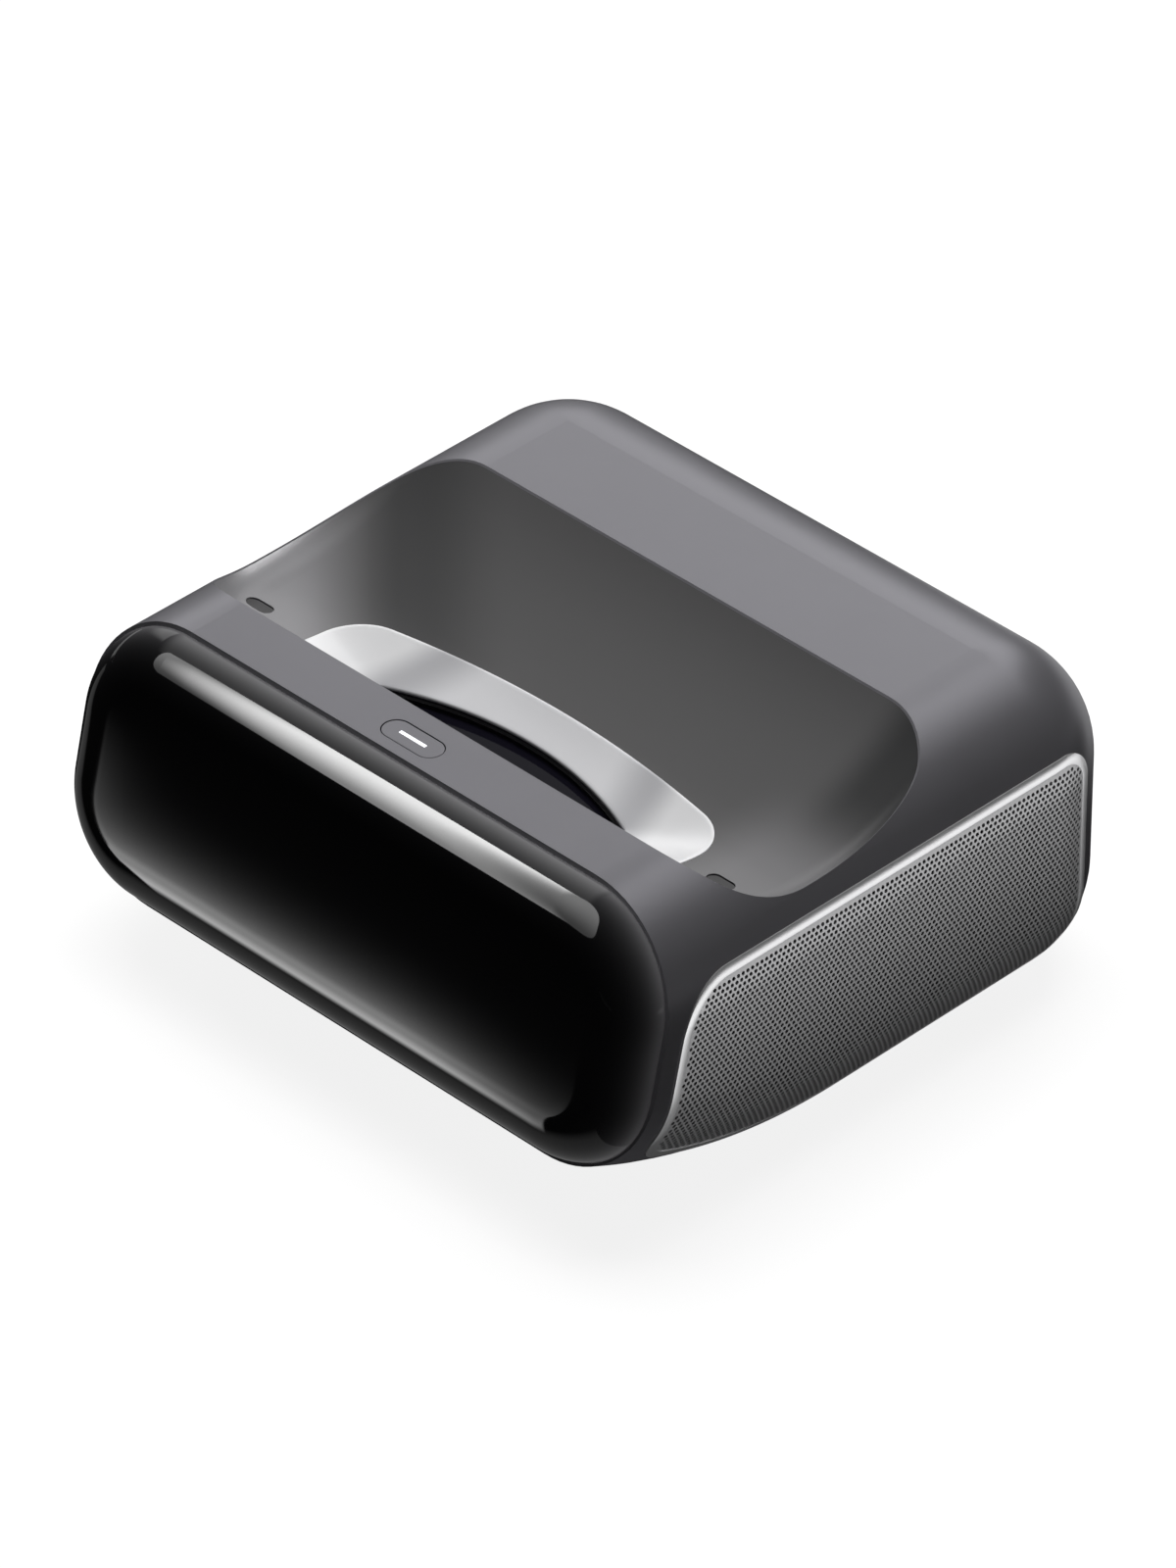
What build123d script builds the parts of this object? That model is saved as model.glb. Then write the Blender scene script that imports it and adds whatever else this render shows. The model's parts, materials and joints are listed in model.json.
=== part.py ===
"""Ultra-short-throw projector: housing, optics, cooling, sound and controls as separate pieces.

Millimetres. The origin is on the table under the middle of the body, +X points right as seen from
the front, the front faces -Y and +Z is up. The body is a rounded box whose front is a leaning rim
filled by a bulged black panel; a long scoop in the top lets the picture beam out to the rear.
"""
from build123d import *
from math import asin, atan2, cos, hypot, pi, radians, sin, sqrt
import os

# Body
WIDTH = 298.5            # across the side walls
FOOT_H = 3.0             # rubber feet below the base
BODY_H = 138.0           # base to flat top
REAR_Y = 137.0           # rear wall
CORNER_R = 45.5          # shoulders, lower edges and rear corners
WALL = 2.5               # housing wall
CHIN_Y = -13.0           # where the base starts to rise towards the front
CHIN_R = 255.0           # radius of the rising chin

# Leaning front rim and panel
RIM_TOP_Y = -101.5       # rim at the height of the top
RIM_LEAN = 0.235         # forward travel of the rim for each unit down
RIM_TOP_R = 44.5         # corners of the rim as the leaning plane cuts the body
RIM_LOW_R = 43.5
LIP = 2.1                # housing edge left showing round the panel
PANEL_BULGE = 16.0
PANEL_EDGE_R = 22.0
PANEL_WALL = 3.0
SKIRT_DEPTH = 4.0        # panel skirt inside the housing mouth
SKIRT_WALL = 2.5
SKIRT_GAP = 1.0          # skirt to the inside of the housing wall
FRAME_T = 2.5            # front frame behind the skirt
FRAME_W = 16.0

# Scoop in the top
BAND_Y = -76.0           # rear edge of the band that carries the button
SCOOP_R = 128.5          # floor radius, axis along X
SCOOP_LOW_Y = -30.0      # where the floor is lowest
SCOOP_DEPTH = 27.0
SCOOP_SIDE = 3.75        # side walls in from the body's sides; they run out through the shoulders
SCOOP_CORNER_R = 41.5    # front corners in plan
SCOOP_FILLET = 16.5      # bowl between floor and walls
SCOOP_T = 2.0            # thickness of the scoop panel
LIP_T = 0.6              # housing lip over the panel's edge
SCOOP_ROOF = 20.0        # height of the cutting form above the top
SEAM = 0.15              # assembly gap between neighbouring covers

# Lens surround and window
SURROUND_HALF_X = 97.0
SURROUND_FRONT_Y = -70.0
SURROUND_SIDE_Y = -26.5
SURROUND_BACK_Y = -15.8
SURROUND_CORNER_R = 20.0
SURROUND_PROUD = 0.3
SURROUND_T = 4.0
SURROUND_FLANGE = 3.0
EDGE_LAND = 1.2          # land round the top of the funnel
EYE_HALF_X = 64.5        # opening over the lens
EYE_FRONT_Y = -63.0
EYE_SIDE_Y = -47.0
EYE_BACK_Y = -32.0
EYE_CORNER_R = 5.0
EYE_DZ = 31.0            # lip of the opening below the top
COLLAR_DZ = 36.0         # foot of the collar below the top
COLLAR_WALL = 2.5
SEAT_STEP = 1.0          # collar runs this far below the rest of the surround
GLASS_T = 3.0
GLASS_RIM = 6.0          # how far the glass runs out under the collar
LENS_FRAME_T = 5.0

# Button
BUTTON_Y = -90.5
BUTTON_L = 28.0
BUTTON_W = 11.3
BUTTON_H = 4.0
BUTTON_GAP = 0.35
FLANGE_END = 1.0         # flange past each end of the cap; its sides clear the front frame
BUTTON_TRAVEL = 0.8
LIGHT_L = 13.2
LIGHT_W = 1.5

# Side grilles
GRILLE_TOP_DZ = 28.8     # upper edge below the top
GRILLE_REAR_Y = 109.0
GRILLE_FRONT_GAP = 8.9   # from the rim, measured along Y
GRILLE_LOW_DZ = 14.0     # lower edge above the base line
GRILLE_R = 26.0          # upper front corner
GRILLE_SMALL_R = 14.0    # other corners
GRILLE_PROUD = 0.6
GRILLE_T = 1.5
GRILLE_BORDER = 4.0
GRILLE_SINK = 0.3
SEAT_LAND = 6.0          # housing ledge that carries the grille's border

# Underside
COVER_MARGIN = 4.0       # flat kept between the cover and the rounded edges
COVER_R = 10.0
LEDGE_T = 2.0            # ledge inside the housing that the cover is screwed to
LEDGE_IN = 8.0
LEDGE_OUT = 2.5
SCREW_R = 1.5
SCREW_HEAD_R = 3.0
SCREW_HEAD_H = 1.4
SCREW_L = 6.4
SCREW_IN_Y = 12.0        # end screws in from the cover's short edges
FOOT_R = 9.0
FOOT_SINK = 1.0          # feet sunk into the housing in front and the cover behind
FOOT_X = 81.0
FOOT_YS = (-45.0, 72.0)
INSERT_SPAN_X = 120.0    # ceiling bracket pattern
INSERT_SPAN_Y = 60.0
INSERT_R = 3.0
THREAD_R = 1.65          # minor radius of an M4 thread
INSERT_L = 6.0
BOSS_WALL = 2.0
PLATE_Y0, PLATE_T = -40.0, 2.0   # chassis plate, its front end over the chin

# Rear connector panel
REAR_HALF_X = 88.0
REAR_PANEL_H = 30.0
REAR_R = 5.0
REAR_FLANGE = 3.0
REAR_FLANGE_T = 2.0
PORT_GAP = 0.25
PORT_RECESS = 0.4        # socket mouths behind the rear face
PORT_L = 11.0
BOARD_T = 1.6            # every circuit board
INLET_X = -70.0
INLET_W, INLET_H = 22.0, 14.0
INLET_MOUTH_W, INLET_MOUTH_H = 19.6, 9.0
INLET_DEPTH = 12.0
PIN_R = 1.2
PIN_SPACING = 8.6
VIDEO_XS = (-18.0, 2.0)
VIDEO_W, VIDEO_H, VIDEO_WALL = 15.0, 5.6, 0.5
USB_X = 22.0
USB_W, USB_H, USB_WALL = 13.6, 6.2, 0.5
NET_X = 44.0
NET_W, NET_H = 16.0, 13.6
NET_MOUTH_W, NET_MOUTH_H = 12.0, 8.2
NET_LATCH_W, NET_LATCH_H = 6.0, 2.6
VENT_W, VENT_L, VENT_PITCH, VENT_COUNT = 2.4, 20.0, 5.5, 5
VENT_XS = (-43.0, 70.0)

# Optics
AXIS_Z = 46.0            # lens axis, along Y
ENGINE_HALF_X = 62.0
ENGINE_FRONT_Y = 2.0
ENGINE_REAR_Y = 92.0
ENGINE_NOSE_X = 50.0
ENGINE_NOSE_Y = 16.0
ENGINE_TOP_Z = 72.0
LID_T = 2.5
BARREL_R = 26.0
BARREL_BORE_R = 20.0
BARREL_L = 58.0
BELL_R, BELL_L = 30.0, 8.0
FLANGE_R, FLANGE_T = 31.0, 4.0
FIT = 0.05               # running clearance on the radius
LENS_T = 6.0
LENS_IN = 3.0            # fixed lenses in from the barrel's ends
CELL_Y = -30.0           # focus cell at rest, middle
CELL_L = 14.0
CELL_BORE_R = 15.0
CELL_LENS_T = 6.0
FOCUS_TRAVEL = 1.5       # each way along the axis
FOCUS_TURN = 30.0        # each way, degrees
DRIVE_PIN_R = 1.5
SLOT_GAP = 0.35          # round the drive pin
RING_R = 31.0
RING_FRONT_Y = -44.0
RING_REAR_Y = -22.0
GEAR_W = 6.0
GEAR_MODULE = 1.0
RING_TEETH = 68
RING_SECTOR = 9          # teeth each side of the middle gap
PINION_TEETH = 12
GEAR_SHAKE = 0.1         # added to the centre distance
SHAFT_R = 1.5
MOTOR_R = 8.0
MOTOR_FRONT_Y = -34.0
SHAFT_DEPTH = 14.0       # pinion shaft inside the motor
CHEEK_X, CHEEK_T = 58.0, 3.5
CHEEK_REAR_Y = -8.0
CHEEK_FRONT = ((-60.0, 15.0), (-84.0, 24.0), (-100.0, 42.0), (-108.0, 82.0))
CRADLE_FLOOR_T = 2.5
REST_Y0, REST_Y1 = -20.0, -14.0
MIRROR_Y, MIRROR_Z = -88.0, 62.0
MIRROR_H, MIRROR_T = 56.0, 10.0
MIRROR_R, MIRROR_SINK = 110.0, 6.0
MIRROR_TILT = 21.8
LENS_FRAME_RIM = 9.0

# Heat and air
FIN_GAP = 4.0             # light engine to the fins
FIN_FAN_GAP = 5.0         # fins to the fan
FIN_Y0, FIN_COUNT, FIN_PITCH, FIN_T = 20.0, 12, 5.6, 0.8
FIN_TOP_Z = 84.0
SINK_BASE_T = 3.5
SINK_BASE_X1 = 90.0
PIPE_R = 4.0
PIPE_Y = 116.0
PIPE_BEND = 15.0
PIPE_IN = (14.0, 16.0)    # inner pipe from the fins' inner end, outer pipe from their outer end
PIPE_ZS = (28.0, 44.0)
LASER_HALF_X = 34.0
LASER_LOW_Z, LASER_TOP_Z = 17.0, 60.0
LASER_BASE_T = 6.0       # base plate that the heat pipes lie in
LASER_BASE_LOW_Z = 22.0
LASER_BASE_OUT = 6.0      # base plate past each side of the module
IMAGER_Y0, IMAGER_Y1 = 24.0, 72.0
IMAGER_HALF_Z = 20.0
IMAGER_SINK_IN = 6.0      # edge of the board to the heat sink on it
IMAGER_SINK_HALF_Z = 16.0
IMAGER_SINK_T = 2.0
IMAGER_FINS, IMAGER_FIN_PITCH, IMAGER_FIN_T = 8, 4.9, 1.7
IMAGER_FIN_OUT = 6.0      # board to the fin tips
FAN = 60.0
FAN_T = 15.0
FAN_CORNER_R = 5.0
STRUT_T, STRUT_W = 2.0, 4.0
ROTOR_GAP = 0.6
FAN_SIDE = 16.25         # fan to the outside of the housing
FAN_Y, FAN_Z = 53.0, 60.0
FAN_BORE_R = 28.5
HUB_R = 12.0
BLADE_R = 27.0
BLADES = 7
BLADE_CHORD, BLADE_T, BLADE_PITCH = 10.0, 1.2, 35.0
AXLE_R = 1.5
BRACKET_T = 1.5
BRACKET_GAP = 0.5         # foot of the bracket to the base of the heat sink

# Sound
SPEAKER_GAP = 10.5        # lens frame to the box
SPEAKER_SIDE = 17.25      # box to the outside of the housing
SPEAKER_Y0, SPEAKER_Y1 = -92.0, -12.0
SPEAKER_Z0 = 34.0
SPEAKER_TOP_GAP = 8.0     # box to the underside of the scoop
SPEAKER_R = 6.0
SPEAKER_POCKET = 26.0     # depth of the hollow behind the cone
DRIVER_WALL = 1.5
DRIVER_DROP = 1.0         # driver below the middle of its box
BASKET_L = 14.0
CONE_L, CONE_T, CONE_WALL = 10.0, 1.0, 1.4
CAP_R, CAP_RISE = 8.0, 3.0
DRIVER_R = 31.0
DRIVER_FLANGE_T = 2.0
CONE_R = 25.0
MAGNET_R = 15.0

# Boards
MAIN_HALF_X = 75.0
MAIN_Y0, MAIN_Y1 = 6.0, 104.0
MAIN_PARTS = (              # parts on the main board: X from and to, Y from and to, height
    (-20, 20, 36, 76, 6.0),
    *((30 + 10 * i, 38 + 10 * i, 50, 62, 1.2) for i in range(4)),
    *((-64 + 11 * i, -56 + 11 * i, 84, 98, 5.0) for i in range(4)))
STANDOFF_X, STANDOFF_YS = 44.0, (20.0, 84.0)
POWER_GAP, POWER_LEG = 9.0, 4.0
LEG_GAP = 0.75            # outer legs to the foot of the fan bracket
POWER_PARTS = ((3, -3, 30, 54, 22.0), (2, 5, 58, 76, 26.0))   # the same, X from the board's edges
CAPACITOR_R, CAPACITOR_H, CAPACITOR_YS = 5.0, 24.0, (8.0, 20.0)
LEG_R = 2.0
MAIN_Z = 88.0
POST_R = 2.5

# Sensors
SENSOR_SIDES = {"right": (31.5, -49.0), "left": (20.5, -48.0)}   # in from the scoop's wall, and Y
SENSOR_L, SENSOR_W = 12.0, 6.0
SENSOR_BOARD_RIM = 2.0
SENSOR_SINK = 0.4

# Derived places
HALF_W = WIDTH / 2
SCOOP_HALF_X = HALF_W - SCOOP_SIDE
BASE_Z = FOOT_H
TOP_Z = FOOT_H + BODY_H
MID_Z = BASE_Z + BODY_H / 2
SCOOP_AXIS_Z = TOP_Z - SCOOP_DEPTH + SCOOP_R
LEAN = atan2(RIM_LEAN, 1.0)
COVER_HALF_X = HALF_W - CORNER_R - COVER_MARGIN
COVER_Y0 = CHIN_Y + COVER_MARGIN
COVER_Y1 = REAR_Y - CORNER_R - COVER_MARGIN
COVER_Y = (COVER_Y0 + COVER_Y1) / 2
FLOOR_Z = BASE_Z + WALL + LEDGE_T
DECK_Z = FLOOR_Z + PLATE_T
GLASS_Z = TOP_Z - COLLAR_DZ - GLASS_T
LENS_FRAME_Z = GLASS_Z - LENS_FRAME_T
CHEEK_TOP = ((-100.0, LENS_FRAME_Z), (-52.0, LENS_FRAME_Z))
CHEEK_BACK = ((-40.0, 52.0), (CHEEK_REAR_Y, 40.0))
FAN_X = HALF_W - FAN_SIDE - FAN_T
FIN_X0, FIN_X1 = ENGINE_HALF_X + FIN_GAP, FAN_X - FIN_FAN_GAP
PIPES = ((FIN_X0 + PIPE_IN[0], PIPE_ZS[0]), (FIN_X1 - PIPE_IN[1], PIPE_ZS[1]))
SPEAKER_X1 = HALF_W - SPEAKER_SIDE
SPEAKER_X0 = EYE_HALF_X + LENS_FRAME_RIM + SPEAKER_GAP
SPEAKER_Z1 = TOP_Z - SCOOP_DEPTH - SCOOP_T - SPEAKER_TOP_GAP
DRIVER_Z = (SPEAKER_Z0 + SPEAKER_Z1) / 2 - DRIVER_DROP
GEAR_CENTRES = GEAR_MODULE * (RING_TEETH + PINION_TEETH) / 2 + GEAR_SHAKE
REAR_IN_Y = REAR_Y - WALL
PORT_FACE_Y = REAR_Y - PORT_RECESS
PORT_BOARD_Y = PORT_FACE_Y - PORT_L
PARTS = {}


def keep(name, *shapes):
    """Store a finished piece, or a group of like pieces, under its name."""
    solids = [solid for shape in shapes for solid in shape.solids()]
    PARTS[name] = solids[0] if len(solids) == 1 else Compound(children=solids)
    return PARTS[name]


def block(x0, x1, y0, y1, z0, z1):
    """Axis-aligned block between two corners."""
    return Pos((x0 + x1) / 2, (y0 + y1) / 2, (z0 + z1) / 2) * Box(x1 - x0, y1 - y0, z1 - z0)


def rod(axis, radius, x, y, z, length):
    """Round bar of a given length that starts at a point and runs along +X, +Y or +Z."""
    turn = {"X": Rot(0, 90, 0), "Y": Rot(-90, 0, 0), "Z": Rot(0, 0, 0)}[axis]
    bar = Cylinder(radius, length, align=(Align.CENTER, Align.CENTER, Align.MIN))
    return Pos(x, y, z) * turn * bar


def mirrored(shape):
    """The same shape on the other side of the middle plane."""
    return mirror(shape, about=Plane.YZ)


def rim_y(z, forward=0.0):
    """Y of the leaning rim plane at height z, moved forward along its normal."""
    return RIM_TOP_Y - RIM_LEAN * (TOP_Z - z) - forward / cos(LEAN)


def chin_meet(radius, gap):
    """Point (Y, Z) where an arc about the chin's centre meets the rim line moved back by a gap."""
    centre_z = BASE_Z + CHIN_R
    turn = 0.0
    for _ in range(40):
        z = centre_z - radius * cos(turn)
        turn = asin(min(1.0, (CHIN_Y - rim_y(z) - gap) / radius))
    z = centre_z - radius * cos(turn)
    return rim_y(z) + gap, z


def chin_arc(radius, gap):
    """Arc from the flat base line up the chin to the rim line, as (Y, Z) in the YZ plane."""
    end = chin_meet(radius, gap)
    mid = asin((CHIN_Y - end[0]) / radius) / 2
    centre_z = BASE_Z + CHIN_R
    middle = (CHIN_Y - radius * sin(mid), centre_z - radius * cos(mid))
    return ThreePointArc((CHIN_Y, centre_z - radius), middle, end), end


def body(grow=0.0, forward=0.0):
    """Outer form of the body, grown by an offset, with its front on the leaning rim plane."""
    top, base, rear = TOP_Z + grow, BASE_Z - grow, REAR_Y + grow
    arc, end = chin_arc(CHIN_R + grow, -forward / cos(LEAN))
    outline = arc + Polyline(end, (rim_y(top, forward), top), (rear, top), (rear, base), (CHIN_Y, base))
    half = HALF_W + grow
    solid = extrude(make_face(Plane.YZ * outline), half, both=True)
    edges = solid.edges().filter_by(lambda e: is_rounded(e, half, rear))
    return fillet(edges, CORNER_R + grow)


def is_rounded(edge, half, rear):
    """True for the long edges of the side walls and of the rear wall, not those of the rim."""
    centre = edge.center(CenterOf.BOUNDING_BOX)
    on_side = abs(abs(centre.X) - half) < 0.01
    on_rear = abs(centre.Y - rear) < 0.01
    on_rim = on_side and not on_rear and edge.bounding_box().size.Z > BODY_H / 2
    return (on_side or on_rear) and not on_rim


def scoop(grow=0.0):
    """Space scooped out of the top: a cylindrical floor with bowl-shaped front corners."""
    radius = SCOOP_R + grow
    roof = TOP_Z + SCOOP_ROOF
    front = BAND_Y - grow
    front_z = SCOOP_AXIS_Z - sqrt(radius**2 - (SCOOP_LOW_Y - front)**2)
    back = SCOOP_LOW_Y + sqrt(radius**2 - (SCOOP_AXIS_Z - roof)**2)
    floor_arc = ThreePointArc(
        (front, front_z), (SCOOP_LOW_Y, SCOOP_AXIS_Z - radius), (back, roof))
    outline = floor_arc + Polyline((back, roof), (front, roof), (front, front_z))
    space = extrude(make_face(Plane.YZ * outline), SCOOP_HALF_X + grow, both=True)
    posts = space.edges().filter_by(Axis.Z).group_by(Axis.Y)[0]
    space = fillet(posts, SCOOP_CORNER_R + grow)
    floor = space.faces().filter_by(GeomType.CYLINDER).sort_by(SortBy.AREA)[-1]
    low = floor.edges().filter_by(lambda e: e.center(CenterOf.BOUNDING_BOX).Z < roof - 0.1)
    return fillet(low, SCOOP_FILLET + grow)


def arched(half_x, front_y, side_y, back_y, corner_r):
    """Plan outline with a straight front, an arched back and four rounded corners."""
    lines = Polyline((-half_x, side_y), (-half_x, front_y), (half_x, front_y), (half_x, side_y))
    lines += ThreePointArc((half_x, side_y), (0, back_y), (-half_x, side_y))
    face = make_face(lines)
    return fillet(face.vertices(), corner_r)


def prism(face, z0, z1, grow=0.0):
    """Upright prism over a plan outline, which may be grown or shrunk first."""
    shape = offset(face, grow) if grow else face
    return extrude(Pos(0, 0, z0) * shape, z1 - z0)


def rim_plane(forward=0.0):
    """Plane of the leaning rim, its origin at mid height, its normal pointing out of the front."""
    low_z = chin_meet(CHIN_R, 0.0)[1]
    middle = (0, rim_y((TOP_Z + low_z) / 2), (TOP_Z + low_z) / 2)
    plane = Plane(origin=middle, x_dir=(1, 0, 0), z_dir=(0, -cos(LEAN), sin(LEAN)))
    return plane.offset(forward)


def rim_face(inset, forward=0.0):
    """Rounded rectangle on the rim plane, inset from the outer edge of the housing."""
    low_z = chin_meet(CHIN_R, 0.0)[1]
    height = (TOP_Z - low_z) / cos(LEAN)
    shape = Rectangle(WIDTH - 2 * inset, height - 2 * inset)
    low, high = shape.vertices().group_by(Axis.Y)
    shape = fillet(high, RIM_TOP_R - inset)
    low = shape.vertices().sort_by(Axis.Y)[:2]
    return rim_plane(forward) * fillet(low, RIM_LOW_R - inset)


def dome(inset, radius, bulge):
    """Bulged front form: a rounded edge all round that starts at an angle from the rim plane."""
    spread = radius - sqrt(radius**2 - (radius - bulge)**2)
    depth = 1.5 * radius
    form = extrude(rim_face(inset - spread, bulge - depth), depth)
    front = form.faces().sort_by(Axis.Y)[0]
    return fillet(front.edges(), radius)


def front_cover():
    """Gloss panel, its skirt inside the housing and the frame that holds the skirt."""
    shell = dome(LIP, PANEL_EDGE_R, PANEL_BULGE)
    shell -= dome(LIP + PANEL_WALL, PANEL_EDGE_R - PANEL_WALL, PANEL_BULGE - PANEL_WALL)
    ahead = extrude(rim_plane() * Rectangle(2 * WIDTH, 2 * WIDTH), 2 * PANEL_BULGE)
    skirt_in = WALL + SKIRT_GAP
    skirt = extrude(rim_face(skirt_in, -SKIRT_DEPTH), SKIRT_DEPTH + 0.5)
    skirt -= extrude(rim_face(skirt_in + SKIRT_WALL, -SKIRT_DEPTH), SKIRT_DEPTH + 0.5)
    keep("front_panel", (shell & ahead) + skirt)
    back = -SKIRT_DEPTH - FRAME_T
    frame = extrude(rim_face(skirt_in, back), FRAME_T)
    keep("front_frame", frame - extrude(rim_face(skirt_in + FRAME_W, back), FRAME_T))


def grille_outline():
    """Side view of a grille: level top, upright rear, a front along the rim and a chin arc."""
    top, low = TOP_Z - GRILLE_TOP_DZ, BASE_Z + GRILLE_LOW_DZ
    arc, end = chin_arc(CHIN_R - GRILLE_LOW_DZ, GRILLE_FRONT_GAP)
    head = (rim_y(top) + GRILLE_FRONT_GAP, top)
    lines = arc + Polyline(end, head, (GRILLE_REAR_Y, top), (GRILLE_REAR_Y, low), (CHIN_Y, low))
    face = make_face(lines)
    corners = face.vertices().filter_by(lambda v: v.X > CHIN_Y + 1 or v.X < CHIN_Y - 1)
    head_corner = corners.filter_by(lambda v: v.X < CHIN_Y and v.Y > MID_Z)
    rest = [v for v in corners if v not in head_corner]
    return fillet(rest, GRILLE_SMALL_R), head


def grille_space(inset):
    """Everything on the right side that lies within the grille's side view, less an inset."""
    face, head = grille_outline()
    corner = face.vertices().sort_by(lambda v: hypot(v.X - head[0], v.Y - head[1]))[0]
    face = fillet([corner], GRILLE_R)
    if inset:
        face = offset(face, -inset)
    return extrude(Plane.YZ * face, WIDTH)


def grilles():
    """Curved side grilles with a raised border round a slightly sunk field."""
    skin = body(GRILLE_PROUD) - body(GRILLE_PROUD - GRILLE_T)
    panel = skin & grille_space(0.0)
    panel -= grille_space(GRILLE_BORDER) - body(GRILLE_PROUD - GRILLE_SINK)
    keep("right_grille", panel)
    keep("left_grille", mirrored(panel))


def cover_face(grow=0.0):
    """Plan of the opening in the underside, with an allowance."""
    size_x = 2 * (COVER_HALF_X + grow)
    size_y = COVER_Y1 - COVER_Y0 + 2 * grow
    return Pos(0, COVER_Y) * RectangleRounded(size_x, size_y, COVER_R + grow)


def rear_face(grow=0.0):
    """Outline of the rear panel in the rear wall, with an allowance; it is extruded to the front."""
    shape = RectangleRounded(2 * (REAR_HALF_X + grow), REAR_PANEL_H + 2 * grow, REAR_R + grow)
    return Plane(origin=(0, REAR_Y, MID_Z), x_dir=(1, 0, 0), z_dir=(0, -1, 0)) * shape


def screw_spots():
    """Plan places of the cover screws."""
    x = COVER_HALF_X - LEDGE_IN / 2
    ys = (COVER_Y0 + SCREW_IN_Y, COVER_Y, COVER_Y1 - SCREW_IN_Y)
    return [(side * x, y) for side in (-1, 1) for y in ys]


def insert_spots():
    """Plan places of the threaded inserts."""
    half_x, half_y = INSERT_SPAN_X / 2, INSERT_SPAN_Y / 2
    return [(i * half_x, COVER_Y + j * half_y) for i in (-1, 1) for j in (-1, 1)]


def feet():
    """Rubber feet, round discs from the table up into shallow recesses in the body."""
    inner = body(-FOOT_SINK)
    return [rod("Z", FOOT_R, side * FOOT_X, y, 0, DECK_Z) - inner
            for side in (-1, 1) for y in FOOT_YS]


def button_face(grow=0.0):
    """Pill outline of the power button."""
    return Pos(0, BUTTON_Y) * SlotOverall(BUTTON_L + 2 * grow, BUTTON_W + 2 * grow)


def board_posts():
    """Places of the posts that carry the button's board."""
    x = BUTTON_L / 2 + 2 * POST_R
    return [(-x, BUTTON_Y), (x, BUTTON_Y)]


def housing():
    """Wrap housing with its scoop opening, grille seats, windows, ledge and button hole."""
    shell = body() - body(-WALL, WALL)
    shell -= scoop()
    shell -= body(-LIP_T) & scoop(SCOOP_T + SEAM)
    seat = grille_space(-SEAM) - body(GRILLE_PROUD - GRILLE_T)
    window = grille_space(SEAT_LAND)
    for cut in (seat, window):
        shell = shell - cut - mirrored(cut)
    shell -= prism(cover_face(), 0, BASE_Z + WALL + 1)
    for foot in feet():
        shell -= foot
    ledge = prism(cover_face(LEDGE_OUT), BASE_Z + WALL, FLOOR_Z)
    shell += ledge - prism(cover_face(-LEDGE_IN), BASE_Z + WALL, FLOOR_Z)
    for x, y in screw_spots():
        shell -= rod("Z", SCREW_R, x, y, 0, FLOOR_Z + 1)
    shell -= extrude(rear_face(), WALL + 1)
    shell -= prism(button_face(BUTTON_GAP), TOP_Z - WALL - 1, TOP_Z + 1)
    post_foot = TOP_Z - WALL - BUTTON_H
    for x, y in board_posts():
        shell += rod("Z", POST_R, x, y, post_foot, TOP_Z - WALL - post_foot + 0.1)
    keep("top_housing", shell)


def scoop_cover():
    """Scoop panel, lens surround, window, window frame and the two sensors."""
    outline = arched(SURROUND_HALF_X, SURROUND_FRONT_Y, SURROUND_SIDE_Y, SURROUND_BACK_Y,
                     SURROUND_CORNER_R)
    eye = arched(EYE_HALF_X, EYE_FRONT_Y, EYE_SIDE_Y, EYE_BACK_Y, EYE_CORNER_R)
    outside, inside = TOP_Z + SCOOP_ROOF, GLASS_Z
    top, under = scoop(), scoop(SCOOP_T)
    panel = body(-LIP_T) & (under - top)
    panel -= prism(outline, inside, outside, SEAM)
    sunk = under - scoop(SENSOR_SINK)
    board_z = SCOOP_AXIS_Z - SCOOP_R - SCOOP_T - BOARD_T - 0.1
    boards = []
    for side, (gap, y) in SENSOR_SIDES.items():
        x = (SCOOP_HALF_X - gap) * (1 if side == "right" else -1)
        sensor = Pos(x, y) * SlotOverall(SENSOR_L, SENSOR_W)
        keep(side + "_sensor_window", prism(sensor, inside, outside) & sunk)
        panel -= prism(sensor, inside, outside, SEAM)
        plan = Pos(x, y) * Rectangle(SENSOR_L + 2 * SENSOR_BOARD_RIM, SENSOR_W + 2 * SENSOR_BOARD_RIM)
        boards.append(prism(plan, board_z, board_z + BOARD_T))
    keep("scoop_panel", panel)
    keep("sensor_boards", *boards)
    lip_z, collar_z = TOP_Z - EYE_DZ, TOP_Z - COLLAR_DZ
    ring = prism(outline, collar_z + SEAT_STEP, outside) - scoop(-SURROUND_PROUD)
    ring += prism(outline, inside, outside, SURROUND_FLANGE) & (scoop(SURROUND_T) - under)
    ring += prism(eye, collar_z, lip_z + 0.5, COLLAR_WALL)
    mouth = Pos(0, 0, TOP_Z - SCOOP_DEPTH) * offset(outline, -EDGE_LAND)
    funnel = loft([Pos(0, 0, lip_z) * eye, mouth], ruled=True) + extrude(mouth, SCOOP_ROOF)
    ring = ring - funnel - prism(eye, collar_z - 1, lip_z + 1)
    keep("lens_surround", ring)
    keep("lens_window", prism(eye, GLASS_Z, GLASS_Z + GLASS_T, GLASS_RIM))
    frame = prism(eye, LENS_FRAME_Z, GLASS_Z, LENS_FRAME_RIM)
    keep("lens_frame", frame - prism(eye, LENS_FRAME_Z, GLASS_Z, 1.0))


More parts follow.
